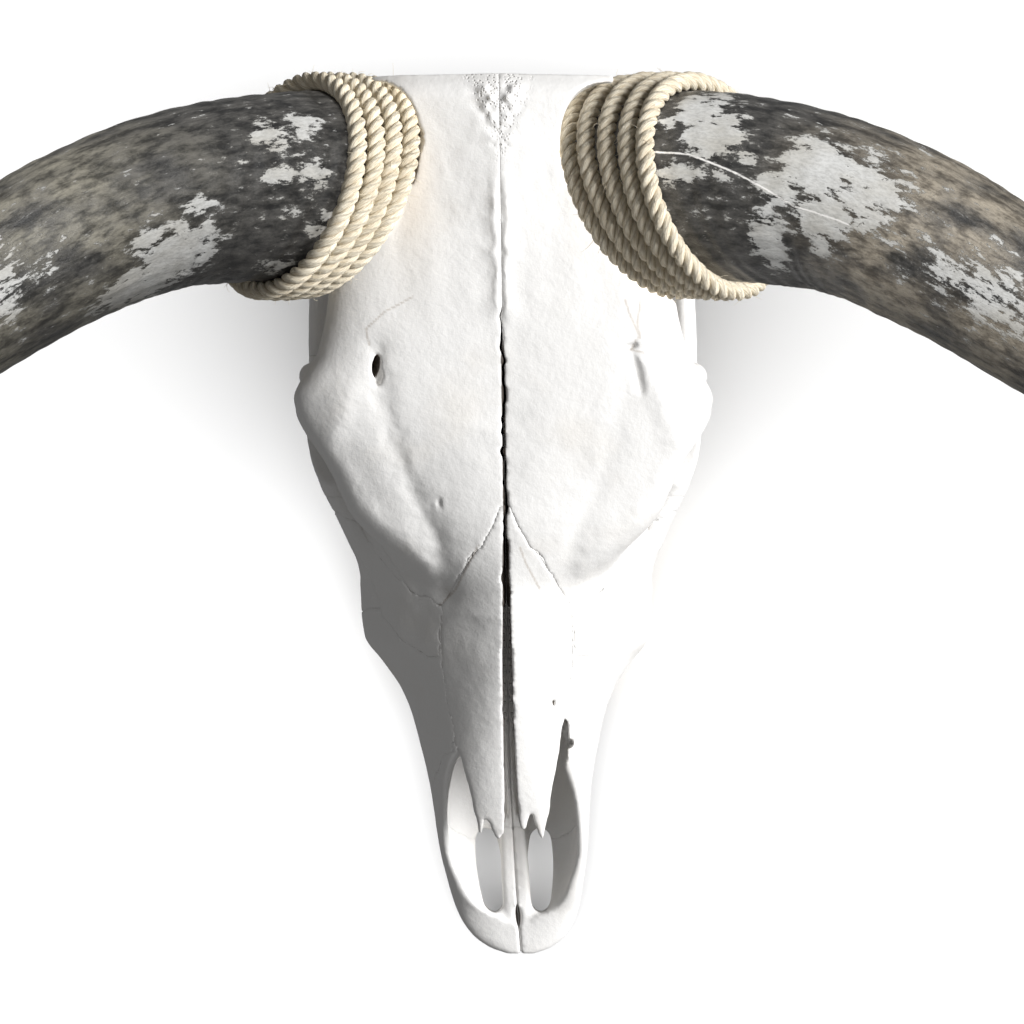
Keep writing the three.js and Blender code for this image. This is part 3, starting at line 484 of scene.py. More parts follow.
def axis_frames(side, s):
    """Places on the axis at lengths s, and three directions: along it, across it towards the rear, and
    across it towards the sky. The sections slant: their rear lies nearer the root, so the direction
    towards the rear is y - slant * along, with y the unit vector that is square to the axis."""
    points = horn_axis(side)
    places = np.arange(len(points)) * STEP
    tangents = unit(np.gradient(points, axis=0))
    at, along = (np.stack([np.interp(s, places, c) for c in a.T], -1) for a in (points, tangents))
    along = unit(along)
    across = unit(np.array([0, 1.0, 0]) - along * along[..., 1:2])
    sky = side * np.cross(along, across)
    return at, along, across - slant(s)[..., None] * along, sky


# %% [markdown]
# ## The two sides
#
# Both halves now get what is their own: the hollow round the horn's root, the hole in front of the left
# horn that a vein once used, the broken furrow on the right, and their own nasal tips.

# %% Marks of each side
MARKS = {  # hollows of one side: place, size and turn
    "left": [((80, 92, 190), (3.0, 8.0, 18), (0.1, -0.15, 0.15)),
             ((77.5, 84, 199), (2.6, 6.0, 4), (0, 0, 0.2)),
             ((84, 108, 206), (2.0, 5.0, 3), (0, 0, 0.5)), ((41, 5, 189), (1.2, 4.5, 4), (0, 0, 0))],
    "right": [((84, 84, 204), (5.0, 17.0, 6.5), (0, 0, 0.2)), ((80, 103, 203), (6.0, 2.2, 5), (0, 0, 0.3)),
              ((35.2, -147, 112), (2.6, 16, 28), (0, 0, -0.08)),
              ((29.1, -121, 132), (1.0, 2.2, 6), (0, 0, 0)),
              ((38.2, -147.5, 112), (2.8, 3.0, 20), (0, 0, 0.3))],
}
ROOM = {"radius": HORN["radius"][0][1] + ROPE["diameter"] + 0.8, "before": 5.6, "rounding": 6.0,
        "floor": 130, "from": -30, "past_root": 130}
FILLED = (2.2, 9, [[79, 100], [76, 72], [70, 45], [58, 15], [46, -12], [37, -50]])  # the right's valley
septum = bar([[0, -256, 40], [0, -225, 43], [0, -190, 47], [0, -150, 52], [0, -60, 60]],
             [[0, 3.4], [0.4, 3.0], [1, 2.6]], [[0, 4], [0.3, 5], [1, 16]], count=180)
rail = bar([[4.6, -262, 38], [5.0, -235, 42], [4.2, -200, 46]], [[0, 4.6], [1, 3.6]], [[0, 4], [1, 5]])
incisive = eggs((0, -263, 42), (1.7, 8, 12))


def horn_hollow(side):
    """Distances to the room round the horn and rope, and to the core of bone within, from the nearest
    cross-section: the radius r = |p - axis| less the room's, and the length s along the axis, to which
    the slant of the sections adds slant * (distance towards the rear). The room starts where the first
    turn of rope does, and so follows its screw line: start = first + pitch (a0 - a) / 2 pi."""
    sign = SIDES[side]
    root = HORN["root"][side]
    s = np.arange(ROOM["from"], root + ROOM["past_root"], STEP)
    at, along, across, sky = axis_frames(sign, np.maximum(s, 0))
    at = at + along * np.minimum(s, 0)[:, None]
    tilt = slant(s)
    rear = across + tilt[:, None] * along
    best, radius, place, back, rise = (np.full(SHAPE, v, np.float32) for v in (1e9, 1e3, -1e3, 0, 0))
    for p, t, u, w, k, length in zip(at, along, rear, sky, tilt, s):
        d = [(sign * PX + lean(GY)[None, :, None] - p[0]).astype(np.float32), PY - p[1], PZ - p[2]]
        ahead = d[0] * t[0] + d[1] * t[1] + d[2] * t[2]
        nearer = np.abs(ahead) < best
        best = np.where(nearer, np.abs(ahead), best)
        away = np.sqrt(np.maximum(d[0] ** 2 + d[1] ** 2 + d[2] ** 2 - ahead**2, 0))
        radius = np.where(nearer, away, radius)
        behind = d[0] * u[0] + d[1] * u[1] + d[2] * u[2]
        place = np.where(nearer, length + ahead + k * behind, place)
        back = np.where(nearer, behind, back)
        rise = np.where(nearer, d[0] * w[0] + d[1] * w[1] + d[2] * w[2], rise)
    core = np.maximum(radius - HORN["core_radius"], place - root)
    screw = (ROPE["start"] - np.arctan2(rise, back)) / (2 * np.pi) % 1
    start = ROPE["first"][side] + ROPE["pitch"][side] * screw - ROOM["before"]
    beyond = start + ROOM["rounding"] - place
    outside = radius - ROOM["radius"] + ROOM["rounding"]
    room = np.hypot(np.maximum(outside, 0), np.maximum(beyond, 0)) - ROOM["rounding"]
    sheath = np.maximum(radius - HORN["radius"][0][1] - 0.3, root - place)
    return core.astype(np.float32), np.minimum(room, sheath).astype(np.float32)


def rear_notch(side):
    """Room behind the horn's root, where the rope dips below the poll: all that lies outside the first
    turn's line, seen from above, and over ROOM["floor"]. Its wall stands upright."""
    sign = SIDES[side]
    a = np.linspace(np.pi / 2, -0.1, 18)
    s = ROPE["first"][side] + ROPE["pitch"][side] * ((ROPE["start"] - a) / (2 * np.pi) % 1)
    at, _, across, sky = axis_frames(sign, s)
    reach = HORN["radius"][0][1] + ROPE["diameter"] / 2
    line = at + reach * (across * np.cos(a)[:, None] + sky * np.sin(a)[:, None])
    x = sign * (line[:, 0] - lean(line[:, 1])) - ROOM["before"]
    points = np.stack([x, line[:, 1]], 1).tolist()
    points += [[points[-1][0], 300], [160, 300], [160, points[0][1]]]
    return np.maximum(outline(points, 0)[:, :, None], ROOM["floor"] - PZ)


def half(side):
    """The half skull of one side: the shared field with that side's own cuts, and what is nasal bone."""
    room = nasal_room(side)
    field = skull - line_relief(*FILLED)[:, :, None] * skyward if side == "right" else skull
    field = cut(field, np.maximum(above_rim(side), -room), 2.0)
    field = cut(field, np.maximum(nose, -room), 3.0)
    field = join(join(field, septum, 3), rail, 2)
    field = cut(field, incisive, 1.5)
    for at, size, turn in MARKS[side]:
        field = cut(field, eggs(at, size, turn), 1.5)
    field = cut(field, rear_notch(side), 2)
    core, hollow = horn_hollow(side)
    field = np.maximum(field, -np.maximum(hollow, -core - 1))
    field = np.minimum(field, core)
    return np.maximum(np.minimum(field, tooth), -PZ), room, core


halves = {side: half(side) for side in SIDES}
print("halves made, each of", round(float((halves["left"][0] < 0).sum()) * VOXEL**3 * 1e-6, 2), "litres")

# %% [markdown]
# ## Parting the bones
#
# Each bone is what is left of the half skull inside its own bounds. A bone is taken out, and the rest is
# parted further. Neighbours reach a fraction of a voxel into each other, so that the voxels' bevelled
# edges leave a line as fine as a real suture and not a ditch.

# %% Bounds of the bones
OVERLAP = 0.3 * VOXEL
SUTURE = {"frontal": 128, "lacrimal": 98, "zygomatic": 58, "palatine": 60, "teeth": 58, "nape": 203}
over_frontal = np.interp(GY, [SUTURE["nape"], 300], [SUTURE["frontal"], SUTURE["frontal"] + 60])
over_frontal = (over_frontal[None, :, None] - PZ).astype(np.float32)
frontal_plan = outline([[-9, -12]] + FRONTAL_EDGE + [[200, 300], [-9, 300]])[:, :, None]
lacrimal_plan = outline(LACRIMAL_EDGE + FRONTAL_EDGE[:3:-1])[:, :, None]
zygomatic_plan = outline([[66, 92], [66, -60], [160, -70], [160, 104]])[:, :, None]
palatine_plan = outline([[-9, -34], [34, -34], [34, 58], [-9, 58]])[:, :, None]
sphenoid_plan = outline([[-9, 58], [46, 58], [34, 120], [34, 203], [-9, 203]])[:, :, None]
SNOUT_LINE = ((-236, 10), (-142, 127))
meander = 0.9 * noise(9, 21, (1, len(GY))) + 0.5 * noise(4, 22, (1, len(GY)))
meander = meander * np.clip((GY + 80) / 50, 0, 1)
wave = (WANDER[0] * 0.9)[:, :, None]


def snout_side():
    """Signed distance to the slanting suture of the snout, negative towards the muzzle."""
    (y0, z0), (y1, z1) = SNOUT_LINE
    size = np.hypot(y1 - y0, z1 - z0)
    return (((PY - y0) * (z1 - z0) - (PZ - z0) * (y1 - y0)) / size + wave).astype(np.float32)


def bones(side):
    """The fields of one side's bones, each cut from what the bones before it have left."""
    rest, room, core = halves[side]
    seam = np.where(gap > 0.2, gap + SIDES[side] * meander, -OVERLAP).astype(np.float32)
    bounds = {
        "nasal": room,
        "frontal": np.minimum(np.maximum(frontal_plan, over_frontal), core),
        "lacrimal": np.maximum(lacrimal_plan, SUTURE["lacrimal"] - PZ),
        "premaxilla": snout_side(),
        "zygomatic": np.maximum(np.maximum(zygomatic_plan, SUTURE["zygomatic"] - PZ),
                                np.minimum(PZ - SUTURE["lacrimal"], 10 - PY)),
        "palatine": np.maximum(palatine_plan, PZ - SUTURE["palatine"]),
        "occipital": SUTURE["nape"] - PY + wave,
        "sphenoid": np.maximum(sphenoid_plan, SUTURE["teeth"] - PY),
        "temporal": SUTURE["teeth"] - PY + wave,
        "maxilla": np.float32(-FAR),
    }
    made = {}
    for name, bound in bounds.items():
        middle = seam[:, :, None] if name in ("nasal", "frontal") else np.float32(0.1)
        made[name] = np.maximum(rest, bound - OVERLAP)
        if name not in ("occipital", "sphenoid"):
            made[name] = np.maximum(made[name], middle - PX)
        rest = np.maximum(rest, -bound - OVERLAP)
    return made


# %% [markdown]
# ## From field to mesh
#
# The surface where the field is zero becomes a mesh of squares a voxel wide. Every vertex also gets
# some values for the finish to read, such as how deep in a hollow it lies, how near the midline crack or
# a fine crease, how porous the bone is there, and how near the left rope. The finish paints shade by the
# hollows, the crack, the creases and the place by the rope. A hollow is found by blurring the bone: on
# flat ground half of the blurred neighbourhood is bone, and in a hollow it is more.

# %% Meshes of the bones
# lines in plan along fine cracks and sutures, browned partly as their own colour and partly as painted shade
# of their creases
HAIRLINES = {
    "left": [[[55, 134], [64, 129], [73, 124.5], [80, 118], [85, 114], [83, 104]],
             [[17, -21], [22, -30], [32, -49], [42, -59]]],
    "right": [[[76.6, 132], [79, 124], [81, 119.5], [85.9, 108]], [[86.5, 132], [84, 118], [85.9, 108]],
              [[84, 108], [80, 101], [88, 99]], [[9, -22], [13, -33], [21, -48]]],
}


PAINTED_ROPE_SHADE = ((-56, 205), (17, 46))  # middle and reach, in plan, of the creamy painted shade on the bone beside the left rope
SEEN_OVER = {"hairlines": 125, "crack": 90, "porous": 150, "painted_rope_shade": 170}  # heights over which each holds


def blurred(solid, reach):
    """Mean over a cube: along each axis in turn, differences of the running sum."""
    n = max(1, int(reach / VOXEL))
    for axis in range(3):
        pad = [(n + 1, n) if a == axis else (0, 0) for a in range(3)]
        total = np.cumsum(np.pad(solid, pad, mode="edge"), axis=axis, dtype=np.float32)
        size = solid.shape[axis]
        upper = total.take(range(2 * n + 1, 2 * n + 1 + size), axis)
        solid = (upper - total.take(range(size), axis)) / (2 * n + 1)
    return solid


def line_distance(x, y, line):
    """Least distance from points in plan to an open line."""
    best = np.full(len(x), 1e9)
    for (x0, y0), (x1, y1) in zip(line, line[1:]):
        ex, ey = x1 - x0, y1 - y0
        t = np.clip(((x - x0) * ex + (y - y0) * ey) / (ex * ex + ey * ey), 0, 1)
        best = np.minimum(best, np.hypot(x - x0 - t * ex, y - y0 - t * ey))
    return best


def new_piece(name, points, faces, stands_for, values=None, uv=None):
    """A mesh object from points in millimetres, with float values on its points and a UV map."""
    mesh = bpy.data.meshes.new(name)
    mesh.vertices.add(len(points))
    mesh.vertices.foreach_set("co", ((points + SHIFT) * MM).astype(np.float32).ravel())
    sizes = np.concatenate([np.full(len(f), f.shape[1]) for f in faces]).astype(np.int32)
    loops = np.concatenate([f.ravel() for f in faces]).astype(np.int32)
    mesh.loops.add(len(loops))
    mesh.loops.foreach_set("vertex_index", loops)
    mesh.polygons.add(len(sizes))
    mesh.polygons.foreach_set("loop_start", np.concatenate([[0], np.cumsum(sizes)[:-1]]).astype(np.int32))
    mesh.polygons.foreach_set("use_smooth", np.ones(len(sizes), bool))
    mesh.update(calc_edges=True)
    for key, value in (values or {}).items():
        layer = mesh.attributes.new(key, "FLOAT", "POINT")
        layer.data.foreach_set("value", value.astype(np.float32))
    if uv is not None:
        mesh.uv_layers.new(name="Lay").data.foreach_set("uv", uv[loops].astype(np.float32).ravel())
    mesh.validate()
    piece = bpy.data.objects.new(name, mesh)
    bpy.context.scene.collection.objects.link(piece)
    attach(piece, "root")
    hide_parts(*stands_for)
    triangles = int((sizes - 2).sum())
    print(f"{name}: {triangles} triangles")
    return piece


def corner(grid, at):
    """Index of the grid value nearest to each coordinate."""
    return np.clip(np.round((at - grid[0]) / VOXEL).astype(int), 0, len(grid) - 1)


def mesh_bone(name, field, side, first_x, soft):
    """The zero surface of a field, turned to its side of the skull and leaned. soft holds the blurs."""
    near = field < 2 * VOXEL
    span = [np.flatnonzero(near.any(axis=tuple(b for b in range(3) if b != a))) for a in range(3)]
    box = tuple(slice(max(0, s[0] - 2), s[-1] + 3) for s in span)
    block = np.pad(field[box], 1, constant_values=FAR)
    grid = openvdb.FloatGrid(FAR)
    grid.copyFromArray(np.ascontiguousarray(block, dtype=np.float64))
    points, triangles, quads = grid.convertToPolygons(isovalue=0.0, adaptivity=0.0)
    start = np.array([first_x, GY[0], GZ[0]]) + VOXEL * (np.array([b.start for b in box]) - 1)
    points = points * VOXEL + start
    plan_x = np.abs(points[:, 0])
    sides = np.full(len(points), side) if side else np.sign(points[:, 0])
    y = points[:, 1]
    # brown along fine cracks and sutures: partly their own colour, partly painted shade of the creases
    flake = np.zeros(len(points))
    over = points[:, 2] > SEEN_OVER["hairlines"]
    for key, sign in SIDES.items():
        for line in HAIRLINES[key]:
            close = np.exp(-(line_distance(plan_x, y, line) ** 2)) * over
            flake = np.maximum(flake, np.where(sides == sign, close, 0))
    # painted shade: near black on the walls of the midline crack and just beside it
    middle = through(NASAL_GAP)(y)
    crack = np.exp(-np.maximum(plan_x - middle, 0) / 0.7) * np.clip(middle / 0.8, 0, 1)
    crack = crack * (points[:, 2] > SEEN_OVER["crack"])
    index = [corner(g, q) for g, q in zip((GX, GY, GZ), (plan_x, y, points[:, 2]))]
    porous = wedge[index[0], index[1]] * (points[:, 2] > SEEN_OVER["porous"])
    # painted shade: a creamy darkening of the bone beside the left rope
    (shade_x, shade_y), (reach_x, reach_y) = PAINTED_ROPE_SHADE
    away = ((sides * plan_x - shade_x) / reach_x) ** 2 + ((y - shade_y) / reach_y) ** 2
    painted_rope_shade = np.exp(-away) * (points[:, 2] > SEEN_OVER["painted_rope_shade"])
    values = {
        # painted shade: how much bone lies round each point, in a small and in a large cube
        "hollow": np.clip(2 * soft[0][tuple(index)] - 1, 0, 1),
        "deep_shade": np.clip(2 * soft[1][tuple(index)] - 1, 0, 1),
        "crack": crack,
        "flake": flake,
        "porous": porous,
        "painted_rope_shade": painted_rope_shade,
        "tooth": np.clip((44 - points[:, 2]) / 4, 0, 1) * (tooth[tuple(index)] < VOXEL),
    }
    faces = [f[:, ::-1] if side > 0 else f for f in (triangles, quads) if len(f)]
    if side < 0:
        points[:, 0] *= -1
    points[:, 0] += lean(y)
    a, b, c = (points[faces[-1][:, k]] for k in (0, 1, 2))
    if np.einsum("ij,ij->", a, np.cross(b, c)) < 0:
        faces = [f[:, ::-1] for f in faces]
    label = name if not side else f"{name}_{'left' if side < 0 else 'right'}"
    return new_piece("bone_" + label, points, faces, [label], values)


blurs = {}
single = {"occipital": {}, "sphenoid": {}}
bone_pieces = []
for side, sign in SIDES.items():
    solid = np.clip(0.5 - halves[side][0] / VOXEL, 0, 1)
    # the blurs measure how deep in a hollow each point lies, for the painted shade of the finish
    blurs[side] = (blurred(solid, 5), blurred(solid, 14))
    for name, field in bones(side).items():
        if name in single:
            single[name][side] = field
        else:
            bone_pieces.append(mesh_bone(name, field, sign, GX[0], blurs[side]))
zero = int(np.searchsorted(GX, -0.01))
for name, fields in single.items():
    whole = np.concatenate([fields["left"][:zero:-1], fields["right"][zero:]])
    bone_pieces.append(mesh_bone(name, whole, 0, -GX[-1], blurs["right"]))
print(len(bone_pieces), "bones meshed")

# %% [markdown]
# ## Horns and ropes as profiles along a path
#
# A horn is a ring of points carried along the axis. Its radius follows the cone, with growth rings that
# fade away from the root and fine grooves along its length. The rope is three strands: each runs round
# the rope's own middle line while that line winds round the horn, and each is lobed by its yarns.


# %% A tube from rings of points
def tube(rings):
    """Vertices and faces of a closed tube: a grid of rings, with a fan to a middle point at each end."""
    n, m, _ = rings.shape
    points = np.vstack([rings.reshape(-1, 3), rings[0].mean(0), rings[-1].mean(0)])
    i, j = np.meshgrid(np.arange(n - 1), np.arange(m), indexing="ij")
    k = (j + 1) % m
    quads = np.stack([i * m + j, i * m + k, (i + 1) * m + k, (i + 1) * m + j], -1).reshape(-1, 4)
    r = np.arange(m)
    first = np.stack([np.full(m, n * m), (r + 1) % m, r], 1)
    last = np.stack([np.full(m, n * m + 1), (n - 1) * m + r, (n - 1) * m + (r + 1) % m], 1)
    return points, [quads, np.vstack([first, last])]


def outward(points, faces):
    """The same faces, turned round if the volume they enclose comes out negative."""
    volume = sum(
        np.einsum("ij,ij->", points[f[:, 0]], np.cross(points[f[:, k]], points[f[:, k + 1]]))
        for f in faces for k in range(1, f.shape[1] - 1)
    )
    return [f[:, ::-1] for f in faces] if volume < 0 else faces


def ring_noise(n, m, along, around, seed):
    """Soft noise on a tube's grid of n rings and m sides, with so many lattice cells along and around it,
    and its last column equal to its first."""
    lattice = np.random.default_rng(seed).standard_normal((along + 2, around))
    u, v = np.linspace(0, along, n), np.arange(m) * around / m
    i, j = u.astype(int), v.astype(int)
    a, b = (t * t * (3 - 2 * t) for t in ((u - i)[:, None], (v - j)[None, :]))
    k = (j + 1) % around
    low = lattice[i][:, j] * (1 - b) + lattice[i][:, k] * b
    high = lattice[i + 1][:, j] * (1 - b) + lattice[i + 1][:, k] * b
    return low * (1 - a) + high * a


# %% Horns
HORN_RINGS, HORN_SIDES = 470, 200
UNDERSIDE = {"level": -0.25, "pale": 0.35}  # below this sine of the angle, patches keep only so much
WARM = {"from": 150, "over": 90}  # lengths between which the charcoal gives way to tan
PATCHES = {  # pale areas as [length, rearward from 1 to -1, their half sizes, strength]
    "left": [[122, 0.55, 15, 0.22, 1.1], [98, 0.62, 13, 0.2, 0.95], [104, 0.1, 15, 0.2, 1.0],
             [128, 0.1, 14, 0.2, 0.9], [96, -0.45, 13, 0.13, 1.0], [118, -0.85, 16, 0.09, 1.1],
             [84, -0.25, 8, 0.1, 0.6], [150, 0.3, 14, 0.25, 0.45], [186, -0.05, 15, 0.16, 1.0],
             [202, -0.5, 30, 0.33, 1.5], [232, -0.75, 34, 0.3, 1.4], [222, -0.25, 20, 0.18, 1.2],
             [330, 0.1, 50, 0.6, 0.9], [450, -0.3, 70, 0.5, 0.8], [112, 0.15, 34, 0.7, 0.5]],
    "right": [[100, 0.8, 20, 0.2, 1.3], [120, 0.55, 20, 0.28, 1.5], [86, 0.6, 10, 0.1, 0.9],
              [104, 0.1, 18, 0.14, 1.2], [84, -0.12, 9, 0.14, 1.0], [148, 0.35, 10, 0.12, 1.0],
              [172, 0.1, 18, 0.2, 1.3], [168, -0.5, 15, 0.36, 1.3], [192, 0.45, 26, 0.35, 1.5],
              [205, -0.1, 22, 0.4, 1.4], [228, 0.35, 26, 0.5, 1.3], [320, 0.0, 60, 0.5, 0.9],
              [430, 0.3, 70, 0.5, 0.8], [130, 0.3, 45, 0.6, 0.5]],
}


def horn(side):
    """Point = axis + r (across cos a + sky sin a), r = R(s) + growth rings + grooves."""
    sign = SIDES[side]
    s = np.linspace(HORN["root"][side], HORN["length"] - 0.5, HORN_RINGS)
    a = -np.pi / 2 + 2 * np.pi * np.arange(HORN_SIDES) / HORN_SIDES
    at, _, across, sky = axis_frames(sign, s)
    seed = 40 + sign
    wobble = ring_noise(HORN_RINGS, HORN_SIDES, 40, 5, seed)
    growth = 0.55 * np.sin(2 * np.pi * s[:, None] / 17 + 1.6 * wobble) * np.exp(-s / 230)[:, None]
    grooves = 0.22 * ring_noise(HORN_RINGS, HORN_SIDES, 16, 60, seed + 2)
    grooves = grooves + 0.10 * ring_noise(HORN_RINGS, HORN_SIDES, 50, 90, seed + 4)
    swell = 0.5 * ring_noise(HORN_RINGS, HORN_SIDES, 22, 6, seed + 6)
    cone = horn_radius(s)[:, None]
    radius = cone + (growth + grooves + swell) * np.clip(cone / 50, 0, 1)
    rim = across[:, None] * np.cos(a)[None, :, None] + sky[:, None] * np.sin(a)[None, :, None]
    points, faces = tube(at[:, None] + rim * radius[..., None])
    height = np.broadcast_to(np.cos(a), radius.shape)
    at_plan = s[:, None] - slant(s)[:, None] * height * radius
    pale = np.zeros(radius.shape)
    for length, level, reach, width, strength in PATCHES[side]:
        spot = ((at_plan - length) / reach) ** 2 + ((height - level) / width) ** 2
        pale = np.maximum(pale, strength * np.exp(-spot))
    underside = np.sin(a) <= UNDERSIDE["level"]
    pale = pale * np.where(underside, UNDERSIDE["pale"], 1)[None, :]
    warm = np.clip((at_plan - WARM["from"]) / WARM["over"], 0, 1)
    uv = np.stack([at_plan, np.broadcast_to(a * 55, radius.shape)], -1)
    uv = np.vstack([uv.reshape(-1, 2), uv[0, 0], uv[-1, 0]]) * MM
    ends = np.zeros(2)
    values = {"pale": np.append(pale.ravel(), ends), "warm": np.append(warm.ravel(), ends + 1)}
    faces = outward(points, faces)
    return new_piece("horn_sheath_" + side, points, faces, ["horn_" + side], values, uv)


horns = {side: horn(side) for side in SIDES}

# %% Ropes
LAY = 25.0  # length of rope in which a strand goes once round
STRAND = ROPE["diameter"] / 2 / (1 + 2 / np.sqrt(3))
STRAND_SIDES = 14
FIBRE = {"count": 240, "steps": 9, "radius": 0.19}


def rope_line(side, count):
    """Middle line of the rope and the direction away from the horn: the angle falls by 2 pi a turn while
    the length along the horn grows by a pitch. Both ends are out of sight under the horn."""
    sign, turns = SIDES[side], ROPE["turns"][side]
    t = np.linspace(0, 1, count)
    angle = ROPE["start"] - 2 * np.pi * turns * t
    s = ROPE["first"][side] + ROPE["pitch"][side] * turns * t
    s = s + 0.5 * np.sin(0.77 * angle + sign) + 0.3 * np.sin(2.3 * angle)
    at, _, across, sky = axis_frames(sign, s)
    out = across * np.cos(angle)[:, None] + sky * np.sin(angle)[:, None]
    lift = horn_radius(s) + ROPE["diameter"] / 2 + 0.5 + 0.35 * np.sin(1.7 * angle + 2 * sign)
    return at + out * lift[:, None], out


def rope(side):
    """Three strands at 120 degrees: offset = a (n cos w + b sin w), w = 2 pi length / lay. A strand's
    section is r (1 + 0.06 cos 5(v - twist)), lobed by its yarns."""
    line, out = rope_line(side, 4000)
    length = np.append(0, np.cumsum(np.linalg.norm(np.diff(line, axis=0), axis=1)))
    rings = int(length[-1] / (1.7))
    even = np.linspace(0, length[-1], rings)
    line, out = (np.stack([np.interp(even, length, c) for c in a.T], 1) for a in (line, out))
    along = unit(np.gradient(line, axis=0))
    n = unit(out - along * (out * along).sum(1, keepdims=True))
    b = np.cross(along, n)
    all_points, all_faces, groove_shades, uvs, base = [], [], [], [], 0
    ends = np.clip(np.minimum(even, length[-1] - even) / 8, 0.35, 1) ** 0.5
    for k in range(3):
        w = 2 * np.pi * (even / LAY + k / 3)
        arm = n * np.cos(w)[:, None] + b * np.sin(w)[:, None]
        middle = line + arm * (ROPE["diameter"] / 2 - STRAND)
        course = unit(np.gradient(middle, axis=0))
        p = unit(arm - course * (arm * course).sum(1, keepdims=True))
        q = np.cross(course, p)
        v = 2 * np.pi * np.arange(STRAND_SIDES) / STRAND_SIDES
        twist = 2 * np.pi * even / 14
        lobes = 1 + 0.05 * np.cos(4 * v[None, :] + twist[:, None])
        rough = 1 + 0.03 * ring_noise(rings, STRAND_SIDES, rings // 3, 7, 70 + k + SIDES[side])
        radius = STRAND * 1.04 * lobes * rough * ends[:, None]
        rim = p[:, None] * np.cos(v)[None, :, None] + q[:, None] * np.sin(v)[None, :, None]
        points, faces = tube(middle[:, None] + rim * radius[..., None])
        faces = outward(points, faces)
        all_points.append(points)
        all_faces.append([f + base for f in faces])
        base += len(points)
        # painted shade: the side of each strand that faces the rope's middle, in the grooves between strands
        groove_shade = np.clip(0.5 - 0.5 * np.cos(v), 0, 1)[None, :] + 0 * radius
        groove_shades.append(np.append(groove_shade.ravel(), [0.5, 0.5]))
        uv = np.stack(np.broadcast_arrays(even[:, None], v[None, :] * STRAND), -1)
        uvs.append(np.vstack([uv.reshape(-1, 2), uv[0, 0], uv[-1, 0]]) * MM)
    faces = [np.vstack(kind) for kind in zip(*all_faces)]
    print(f"rope {side}: {length[-1] * MM:.2f} m of rope")
    return new_piece("rope_strands_" + side, np.vstack(all_points), faces, ["rope_" + side],
                     {"groove_shade": np.concatenate(groove_shades)}, np.vstack(uvs)), line, along, n, b


def fibres(side, line, along, n, b):
    """Loose fibres: from a point on the rope, each runs out and along by steps whose direction turns by
    a little each time, as a thin three-sided tube."""
    rng = np.random.default_rng(5 + SIDES[side])
    count, steps = FIBRE["count"], FIBRE["steps"]
    pick = rng.integers(8, len(line) - 8, count)
    angle = rng.uniform(-1.9, 1.9, count)
    out = n[pick] * np.cos(angle)[:, None] + b[pick] * np.sin(angle)[:, None]
    start = line[pick] + out * (ROPE["diameter"] / 2 - 0.6)
    heading = unit(out * rng.uniform(0.2, 0.9, (count, 1)) + along[pick] * rng.normal(0, 1, (count, 1)))
    turn = rng.normal(0, 0.32, (count, 3))
    size = rng.gamma(2.2, 0.26, (count, 1)) + 0.25
    path = [start]
    for _ in range(steps - 1):
        path.append(path[-1] + heading * size)
        heading = unit(heading + turn + rng.normal(0, 0.12, (count, 3)))
    path = np.stack(path, 1)
    course = unit(np.gradient(path, axis=1))
    p = unit(np.cross(course, out[:, None] + 0.01))
    q = np.cross(course, p)
    v = 2 * np.pi * np.arange(3) / 3
    thin = FIBRE["radius"] * np.linspace(1, 0.35, steps)[None, :, None, None]
    rim = p[:, :, None] * np.cos(v)[:, None] + q[:, :, None] * np.sin(v)[:, None]
    rings = path[:, :, None] + rim * thin
    made = [tube(r) for r in rings]
    size = len(made[0][0])
    faces = [np.vstack([outward(pts, f)[k] + i * size for i, (pts, f) in enumerate(made)]) for k in (0, 1)]
    points = np.vstack([pts for pts, _ in made])
    return new_piece("rope_fibres_" + side, points, faces, ["rope_" + side])


ropes = []
for side in SIDES:
    strands, *course = rope(side)
    ropes += [strands, fibres(side, *course)]

# %% [markdown]
# ## Finishes
#
# Every finish is a small tree of nodes. Patterns on bone read the Object coordinates. Patterns that
# follow a horn or a rope read its own UV map, which counts metres along and around it.


